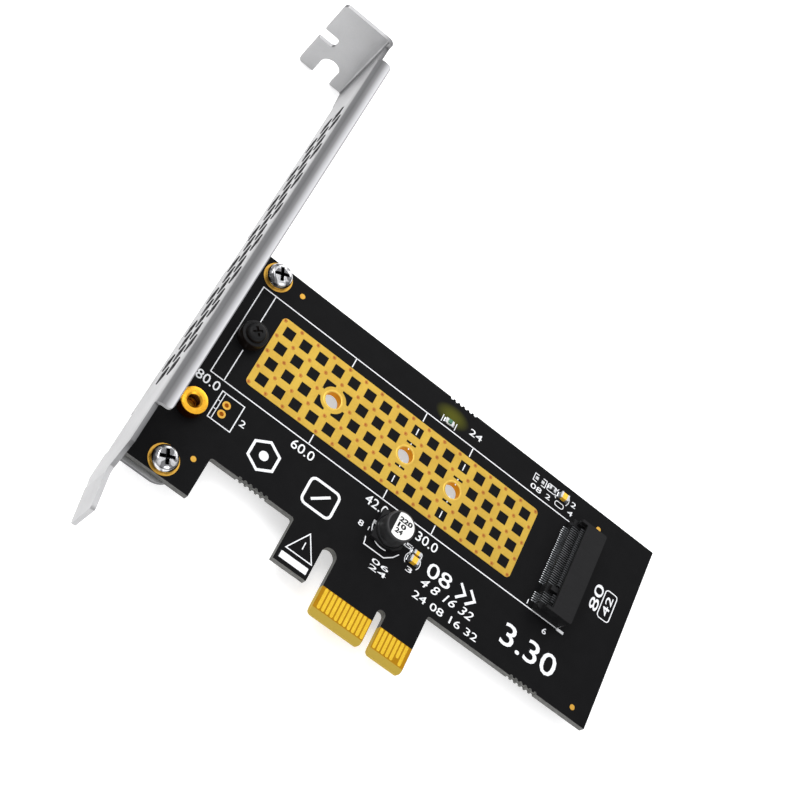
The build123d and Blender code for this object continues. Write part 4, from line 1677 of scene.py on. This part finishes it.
@dataclass(frozen=True)
class PanScrew:
    """A pan-head screw with a cross recess and a cut thread."""

    axis: Point2
    seat: float
    tip: float
    head: float
    height: float
    shank: float
    pitch: float
    # The cross: its length, the width and depth of its arms, and its turn in degrees
    cross: float
    arm: float
    depth: float
    turn: float
    # The meshing of the head: sides, rings of the crown, rings of the side, first radius
    sides: int = 180
    flat_steps: int = 40
    side_steps: int = 16
    pole: float = 0.02
    # The crown's share of the radius, and how far crown and side drop as shares of the height
    flat_share: float = 0.62
    flat_drop: float = 0.10
    side_drop: float = 0.62
    # The head's lower edge and the neck round the shank
    rim_height: float = 0.12
    rim_edge: float = 0.1
    neck: float = 0.05
    # The slopes of the cross's walls and ends, and how much shallower it gets outwards
    wall_slope: float = 3.6
    end_slope: float = 0.9
    floor_rise: float = 0.45
    # How far the shank reaches into the head
    sunk: float = 0.1

    def crown(self) -> list[Point2]:
        """Lists the head's profile: a nearly flat crown, then a round side.

        Returns:
            Radius and height, from the head's middle to its rim.
        """
        radius, flat = self.head / 2, self.flat_share
        profile = [(radius * flat * step / self.flat_steps, 0.0) for step in range(1, self.flat_steps + 1)]
        for step in range(1, self.side_steps + 1):
            angle = math.pi / 2 * step / self.side_steps
            profile.append((radius * (flat + (1.0 - flat) * math.sin(angle)), 1.0 - math.cos(angle)))
        drops = [(r, self.flat_drop * (r / radius) ** 2 + part * self.side_drop) for r, part in profile]
        return [(r, self.height * (1.0 - drop)) for r, drop in drops]

    def recess(self, x: float, y: float) -> float:
        """Gives how deep the cross is at a point of the head.

        Args:
            x: across the head, from its middle.
            y: along it.

        Returns:
            The depth, 0 outside the cross.
        """
        half = self.cross / 2
        deepest = 0.0
        for along, across in ((abs(x), abs(y)), (abs(y), abs(x))):
            inside = min(self.arm / 2 - across, (half - along) * self.end_slope)
            if inside > 0:
                floor = self.depth * (1.0 - self.floor_rise * along / half)
                deepest = max(deepest, min(inside * self.wall_slope, floor))
        return deepest

    def head_rings(self) -> list[list[Point3]]:
        """Gives the rings of the head.

        Returns:
            The rings, from the middle of its top to its underside.
        """
        rings = []
        angle = math.radians(self.turn)
        for radius, height in [(self.pole, self.height)] + self.crown():
            ring = []
            for px, py in circle(0.0, 0.0, radius, self.sides):
                across = px * math.cos(angle) + py * math.sin(angle)
                along = py * math.cos(angle) - px * math.sin(angle)
                level = self.seat + height - self.recess(across, along)
                ring.append((self.axis[0] + px, self.axis[1] + py, level))
            rings.append(ring)
        rim, neck = self.head / 2, self.shank / 2 + self.neck
        for radius, height in ((rim, self.rim_height), (rim - self.rim_edge, 0.0), (neck, 0.0)):
            around = circle(*self.axis, radius, self.sides)
            rings.append([(x, y, self.seat + height) for x, y in around])
        return rings

    def build_into(self, shell: Shell) -> None:
        """Adds the head and the threaded shank, whose end is sunk in the head.

        Args:
            shell: where they go.
        """
        shell.skin(self.head_rings())
        shell.skin(thread_rings(self.axis, (self.tip, self.seat + self.sunk), self.shank / 2, self.pitch))


@dataclass
class Screws:
    """The two bracket screws and the screw that holds the drive."""

    bracket: tuple[PanScrew, ...] = tuple(
        PanScrew(
            place,
            seat=LAND_TOP,
            tip=-2.84,
            head=5.3,
            height=1.9,
            shank=2.8,
            pitch=0.5,
            cross=3.1,
            arm=0.78,
            depth=1.1,
            turn=25.0,
        )
        for place in SCREW_PLACES
    )
    drive: PanScrew = PanScrew(
        DRIVE_POST,
        seat=POST_HEIGHTS[1],
        tip=0.6,
        head=4.1,
        height=1.0,
        shank=1.9,
        pitch=0.4,
        cross=2.1,
        arm=0.55,
        depth=0.6,
        turn=40.0,
    )

    def build(self) -> None:
        """Makes the screws."""
        shell = Shell()
        for screw in self.bracket:
            screw.build_into(shell)
        shell.finish("pan_screws", CHROME, Slot.SCREW_CHROME, ["bracket_screws"], 75.0)
        shell = Shell()
        self.drive.build_into(shell)
        shell.finish("drive_pan_screw", BLACK_OXIDE, Slot.BLACK_STEEL, ["drive_screw"], 75.0)


@dataclass
class Standoff:
    """A turned standoff pressed into the board, with a threaded bore that narrows at its foot."""

    name: str
    node: str
    axis: Point2
    metal: Finish
    slot: Slot
    heights: Point2 = POST_HEIGHTS
    # Outside: the small bevels below, the round edge above, and a ring that keeps the wall's shading even
    radius: float = 2.747
    shank: float = 1.8
    bevel: float = 0.1
    edge: float = 0.22
    edge_bend: float = 0.3
    waist: float = 0.9
    # Inside: the thread, its mouth as width and depth, and the narrow hole in the foot
    bore: float = 1.3
    pitch: float = 0.4
    mouth: Point2 = (0.28, 0.24)
    foot_bore: float = 0.5
    foot: float = 0.4
    # How close two rings stand where the shape turns sharply
    step: float = 0.02
    sides: int = 40

    def ring(self, radius: float, z: float) -> list[Point3]:
        """Gives one ring of points round the standoff's axis."""
        return [(x, y, z) for x, y in circle(*self.axis, radius, self.sides)]

    def build(self) -> None:
        """Makes the standoff as one closed tube: outside, top, threaded bore, swaged foot."""
        bottom, top = self.heights
        bend = self.edge * self.edge_bend
        outside = [
            (self.shank - self.bevel, bottom),
            (self.shank, bottom + self.bevel),
            (self.shank, TOP - self.step),
            (self.shank, TOP),
            (self.radius - self.bevel, TOP),
            (self.radius, TOP + self.bevel),
            (self.radius, TOP + self.waist),
            (self.radius, top - self.edge),
            (self.radius - bend, top - bend),
            (self.radius - self.edge, top),
            (self.bore + self.mouth[0], top),
            (self.bore + self.step, top - self.mouth[1]),
        ]
        rings = [self.ring(radius, z) for radius, z in outside]
        ends = (bottom + self.foot + self.bevel, top - self.mouth[1] - self.step)
        rings += thread_rings(self.axis, ends, self.bore, self.pitch, self.sides)[::-1]
        rings += [self.ring(self.foot_bore, z) for z in (bottom + self.foot, bottom)]
        shell = Shell()
        shell.skin(rings, loop=True)
        shell.finish(self.name, self.metal, self.slot, [self.node], 40.0)


@dataclass
class DriveSocket:
    """The drive's socket with its two rows of contacts, and the solder at their tails."""

    pitch: float = 0.5
    # Each run of tails: the Y of its first one and how many there are
    front_runs: tuple[tuple[float, int], ...] = ((48.65, 29), (32.15, 5))
    back_runs: tuple[tuple[float, int], ...] = ((48.4, 29), (31.9, 4))
    front_x: float = 27.05
    back_x: float = 35.2
    # The solder beads: half their size, and the least and the most that they are scaled by
    bead: Point3 = (0.42, 0.15, 0.13)
    bead_lift: float = 0.02
    least: Point3 = (0.85, 0.92, 0.8)
    most: Point3 = (1.1, 1.05, 1.2)
    seed: int = 7

    def solder_row(self, x: float, y: float, count: int) -> bpy.types.Mesh:
        """Grows the solder beads of one row of tails.

        Args:
            x: the middle of the beads.
            y: the first bead.
            count: how many there are.

        Returns:
            The row as a plain mesh.
        """
        tree = Pattern("tail_solder")
        places = tree.line(count, (x, y, TOP + self.bead_lift), (0.0, -self.pitch, 0.0))
        ball = tree.node("GeometryNodeMeshIcoSphere", {}, {"Radius": 1.0, "Subdivisions": 2})
        vary = tree.node(
            "FunctionNodeRandomValue",
            {"data_type": "FLOAT_VECTOR"},
            {0: self.least, 1: self.most, "Seed": tree.size("Seed", self.seed)},
        )
        shape = tree.size("Bead", tuple(part * MM for part in self.bead))
        scale = tree.node("ShaderNodeVectorMath", {"operation": "MULTIPLY"}, {0: shape, 1: vary.outputs[0]})
        tree.close(tree.repeat(places, ball.outputs[0], Scale=scale.outputs[0]), SOLDER)
        return tree.grow()

    def build(self) -> None:
        """Dresses the socket and adds the solder."""
        dress("socket_housing", SOCKET_BLACK)
        # The contacts take the tin copies darkened as painted shade
        dress("socket_front_contacts", SHADED_PIN_TIN)
        dress("socket_back_contacts", SHADED_ROOF_TIN)
        dress("socket_anchors", TIN)
        shell = Shell()
        for x, runs in ((self.front_x, self.front_runs), (self.back_x, self.back_runs)):
            for y, count in runs:
                shell.take(self.solder_row(x, y, count))
        shell.finish("socket_solder", SOLDER, Slot.TIN, crease=70.0)


@dataclass
class CanCapacitor:
    """The can capacitor: a drawn can on a plastic base, with figures on its lid."""

    radius: float = 3.15
    heights: Point2 = node_span("capacitor_can", 2)
    steps: int = 8
    # The rolled hem at the foot, and the groove that holds the seal
    hem: float = 0.3
    hem_bend: float = 0.08
    groove_middle: float = 2.5
    groove_width: float = 0.7
    groove_depth: float = 0.09
    groove_sharpness: float = 1.2
    # The round rim, the lip inside it and the sunk lid
    rim: float = 0.42
    lip_width: float = 0.2
    lip_bevel: Point2 = (0.12, 0.03)
    lid_drop: float = 0.12
    lid_middle: float = 0.6
    # The ink's underside and top over the lid, and the figures' places from the can's axis
    ink: Point2 = (-0.01, 0.015)
    ink_weight: float = 0.05
    figures: tuple[Label, ...] = (
        Label("220", (-1.0, 0.75), (2.0, 1.85)),
        Label("10", (-0.85, -0.5), (1.05, 0.6)),
        Label("24", (-0.85, -1.75), (0.85, -0.65)),
    )

    @property
    def lid(self) -> float:
        """Height of the lid."""
        return self.heights[1] - self.lid_drop

    def outline(self) -> list[Point2]:
        """Lists the can's profile: hem, groove, round rim and sunk lid.

        Returns:
            Radius and height, from its underside to the middle of its lid.
        """
        bottom, top = self.heights
        points = [(self.radius - self.hem, bottom), (self.radius - self.hem_bend, bottom + self.hem_bend)]
        points.append((self.radius, bottom + self.hem))
        for step in range(self.steps + 1):
            share = step / self.steps
            depth = self.groove_depth * math.sin(math.pi * share) ** self.groove_sharpness
            points.append((self.radius - depth, self.groove_middle + self.groove_width * (share - 0.5)))
        inner = self.radius - self.rim
        points += arc(inner, top - self.rim, self.rim, 0.0, 90.0, self.steps)
        points.append((inner - self.lip_bevel[0], top - self.lip_bevel[1]))
        points += [(inner - self.lip_width, self.lid), (self.lid_middle, self.lid)]
        return points

    def build(self) -> None:
        """Makes the can and its figures, and dresses the base and the terminals."""
        dress("capacitor_base", BASE_BLACK)
        dress("capacitor_terminals", TIN)
        x, y = CAN_MIDDLE
        shell = Shell()
        shell.turned(x, y, self.outline(), 72)
        shell.finish("can_body", CAN, Slot.CAN_SLEEVE, ["capacitor_can"], 50.0)
        print_shell = Shell()
        levels = (self.lid + self.ink[0], self.lid + self.ink[1])
        for label in self.figures:
            low, high = ((x + across, y + along) for across, along in (label.low, label.high))
            print_shell.text(label.words, low, high, levels, weight=self.ink_weight)
        print_shell.finish("can_figures", DARK_INK, Slot.CAN_SLEEVE)


@dataclass(frozen=True)
class Chip:
    """A small part that lies along X with a soldered end on each side."""

    middle: Point2
    length: float
    width: float
    height: float


@dataclass
class ChipParts:
    """The small chip parts, with the solder at their ends."""

    chips: tuple[Chip, ...] = (
        Chip((24.0, 54.2), 2.0, 1.3, 1.1),
        Chip((0.9, 21.2), 2.0, 1.3, 1.1),
        Chip((0.9, 22.9), 1.6, 0.8, 0.8),
        Chip((21.1, 54.3), 1.6, 0.8, 0.45),
        Chip((-5.2, 51.85), 2.0, 1.1, 0.35),
    )
    # The solder: how far it spreads, its width and height as shares of the chip's
    spread: float = 0.42
    width_share: float = 0.94
    climb_share: float = 0.6
    # How far it reaches into the chip's end and into the board
    overlap: float = 0.05
    sunk: float = 0.01

    def fillet(self, shell: Shell, x: float, way: int, chip: Chip) -> None:
        """Adds a hollow wedge of solder against the end of a chip.

        Args:
            shell: where it goes.
            x: the face of the chip's end.
            way: 1 or -1, the side on which it lies.
            chip: the chip.
        """
        bottom, climb = TOP - self.sunk, chip.height * self.climb_share
        quarter = arc(0.0, 0.0, 1.0, 0.0, 90.0, 6)
        curve = [(x + way * self.spread * (1 - up), bottom + climb * (1 - out)) for out, up in quarter]
        back = x - way * self.overlap
        section = curve + [(back, bottom + climb), (back, bottom)]
        half = chip.width * self.width_share / 2
        sides = (chip.middle[1] - half, chip.middle[1] + half)
        shell.skin([[(px, side, pz) for px, pz in section] for side in sides])

    def build(self) -> None:
        """Dresses the chips and adds their solder."""
        dress("chip_capacitor_bodies", CERAMIC)
        dress("chip_capacitor_ends", TIN)
        dress("chip_resistor_body", RESISTOR_BODY)
        dress("chip_resistor_ends", TIN)
        shell = Shell()
        for chip in self.chips:
            for way in (-1, 1):
                self.fillet(shell, chip.middle[0] + way * chip.length / 2, way, chip)
        shell.finish("chip_solder", SOLDER, Slot.TIN)


@dataclass
class StatusLamp:
    """The status lamp; its shape is the CAD's."""

    def build(self) -> None:
        """Dresses the base, the ends and the lens."""
        dress("status_lamp_base", LAMP_BASE)
        dress("status_lamp_ends", TIN)
        dress("status_lamp_lens", LENS)


# Studio


@dataclass(frozen=True)
class Lamp:
    """A square soft light, in metres and watts."""

    name: str
    place: Point3
    side: float
    power: float


@dataclass
class Studio:
    """Plain floor, soft light and the camera at the photograph's angle."""

    floor_side: float = 3000.0
    floor_gap: float = 0.2
    # The camera's sensor in its own millimetres, and the nearest and farthest that it sees, in metres
    sensor: float = 36.0
    clip: Point2 = (0.01, 20.0)
    # The camera as it was fitted to the photograph: focal length in pixels, place and three axes
    focal_pixels: float = 1600.0
    eye: Point3 = (-91.1, -124.11, 253.49)
    right: Point3 = (0.77089, 0.39593, 0.49896)
    down: Point3 = (0.59126, -0.73617, -0.32934)
    ahead: Point3 = (0.23693, 0.5489, -0.80161)
    # The sky's brightness from straight below, at 0, to straight above, at 1
    sky: tuple[Point2, ...] = ((0.0, 0.9), (0.5, 0.3), (0.6, 0.36), (0.74, 0.85), (1.0, 1.0))
    sky_blue: float = 1.01
    white: Colour = (1.0, 1.0, 1.0, 1.0)
    lamps: tuple[Lamp, ...] = (
        Lamp("key_light", (-0.35, 0.25, 0.55), 0.45, 3.2),
        Lamp("fill_light", (0.45, -0.30, 0.45), 0.5, 1.2),
        Lamp("rim_light", (0.10, 0.60, 0.30), 0.4, 1.0),
    )
    # Where the lamps point, in metres
    aim: Point3 = (-0.01, 0.05, 0.0)

    def floor(self) -> None:
        """Lays the floor under the lowest point of the card."""
        level = CAD_BOX[0][2] - self.floor_gap * MM
        half = self.floor_side / 2 * MM
        corners = ((-half, -half), (half, -half), (half, half), (-half, half))
        mesh = bpy.data.meshes.new("floor")
        mesh.from_pydata([(x, y, level) for x, y in corners], [], [(0, 1, 2, 3)])
        mesh.materials.append(PAPER.material())
        plane = bpy.data.objects.new("floor", mesh)
        bpy.context.scene.collection.objects.link(plane)

    def light(self) -> None:
        """Hangs the soft lights and sets the even sky."""
        world = bpy.data.worlds.new("studio")
        bpy.context.scene.world = world
        world.use_nodes = True
        tree = Graph(world.node_tree)
        back = world.node_tree.nodes["Background"]
        way = tree.node("ShaderNodeTexCoord").outputs["Generated"]
        rise = Signal(tree, tree.node("ShaderNodeSeparateXYZ", {}, {0: way}).outputs[2]) * 0.5 + 0.5
        stops = [(place, (level, level, level * self.sky_blue, 1.0)) for place, level in self.sky]
        sky = tree.node("ShaderNodeValToRGB", {"stops": stops}, {0: rise}).outputs[0]
        plain = tree.node("ShaderNodeLightPath").outputs["Is Camera Ray"]
        shown = tree.node("ShaderNodeMix", {"data_type": "RGBA"}, {0: plain, 6: sky, 7: self.white})
        tree.plug(back.inputs["Color"], shown.outputs[2])
        for lamp in self.lamps:
            data = bpy.data.lights.new(lamp.name, "AREA")
            data.shape = "SQUARE"
            data.size = lamp.side
            data.energy = lamp.power
            carrier = bpy.data.objects.new(lamp.name, data)
            carrier.location = lamp.place
            aim = Vector(self.aim) - Vector(lamp.place)
            carrier.rotation_mode = "QUATERNION"
            carrier.rotation_quaternion = aim.to_track_quat("-Z", "Y")
            bpy.context.scene.collection.objects.link(carrier)

    def camera(self) -> None:
        """Sets the camera up."""
        data = bpy.data.cameras.new("camera")
        data.sensor_width = self.sensor
        data.lens = data.sensor_width * self.focal_pixels / IMAGE_SIDE
        data.clip_start, data.clip_end = self.clip
        data.dof.use_dof = False
        eye = bpy.data.objects.new("camera", data)
        rows = (Vector(self.right), -Vector(self.down), -Vector(self.ahead))
        eye.rotation_mode = "QUATERNION"
        eye.rotation_quaternion = Matrix(rows).transposed().to_quaternion()
        eye.location = [part * MM for part in self.eye]
        bpy.context.scene.collection.objects.link(eye)
        bpy.context.scene.camera = eye
        bpy.context.scene.view_settings.view_transform = "Standard"

    def build(self) -> None:
        """Sets up floor, light and camera."""
        self.floor()
        self.light()
        self.camera()


def main() -> None:
    """Builds and dresses every sub-assembly in order."""
    logging.basicConfig(level=logging.INFO, format="%(message)s")
    Studio().build()
    assemblies = (
        CircuitBoard(),
        EdgeFingers(),
        HeatPad(),
        BoardPrint(),
        SlotBracket(),
        Screws(),
        Standoff("drive_post", "drive_standoff", DRIVE_POST, BLACK_OXIDE, Slot.BLACK_STEEL),
        Standoff("spare_post", "spare_standoff", SPARE_POST, BRASS, Slot.STANDOFF_BRASS),
        DriveSocket(),
        CanCapacitor(),
        ChipParts(),
        StatusLamp(),
    )
    for assembly in assemblies:
        assembly.build()
        log.info("finished %s", type(assembly).__name__)


if __name__ == "__main__":
    main()
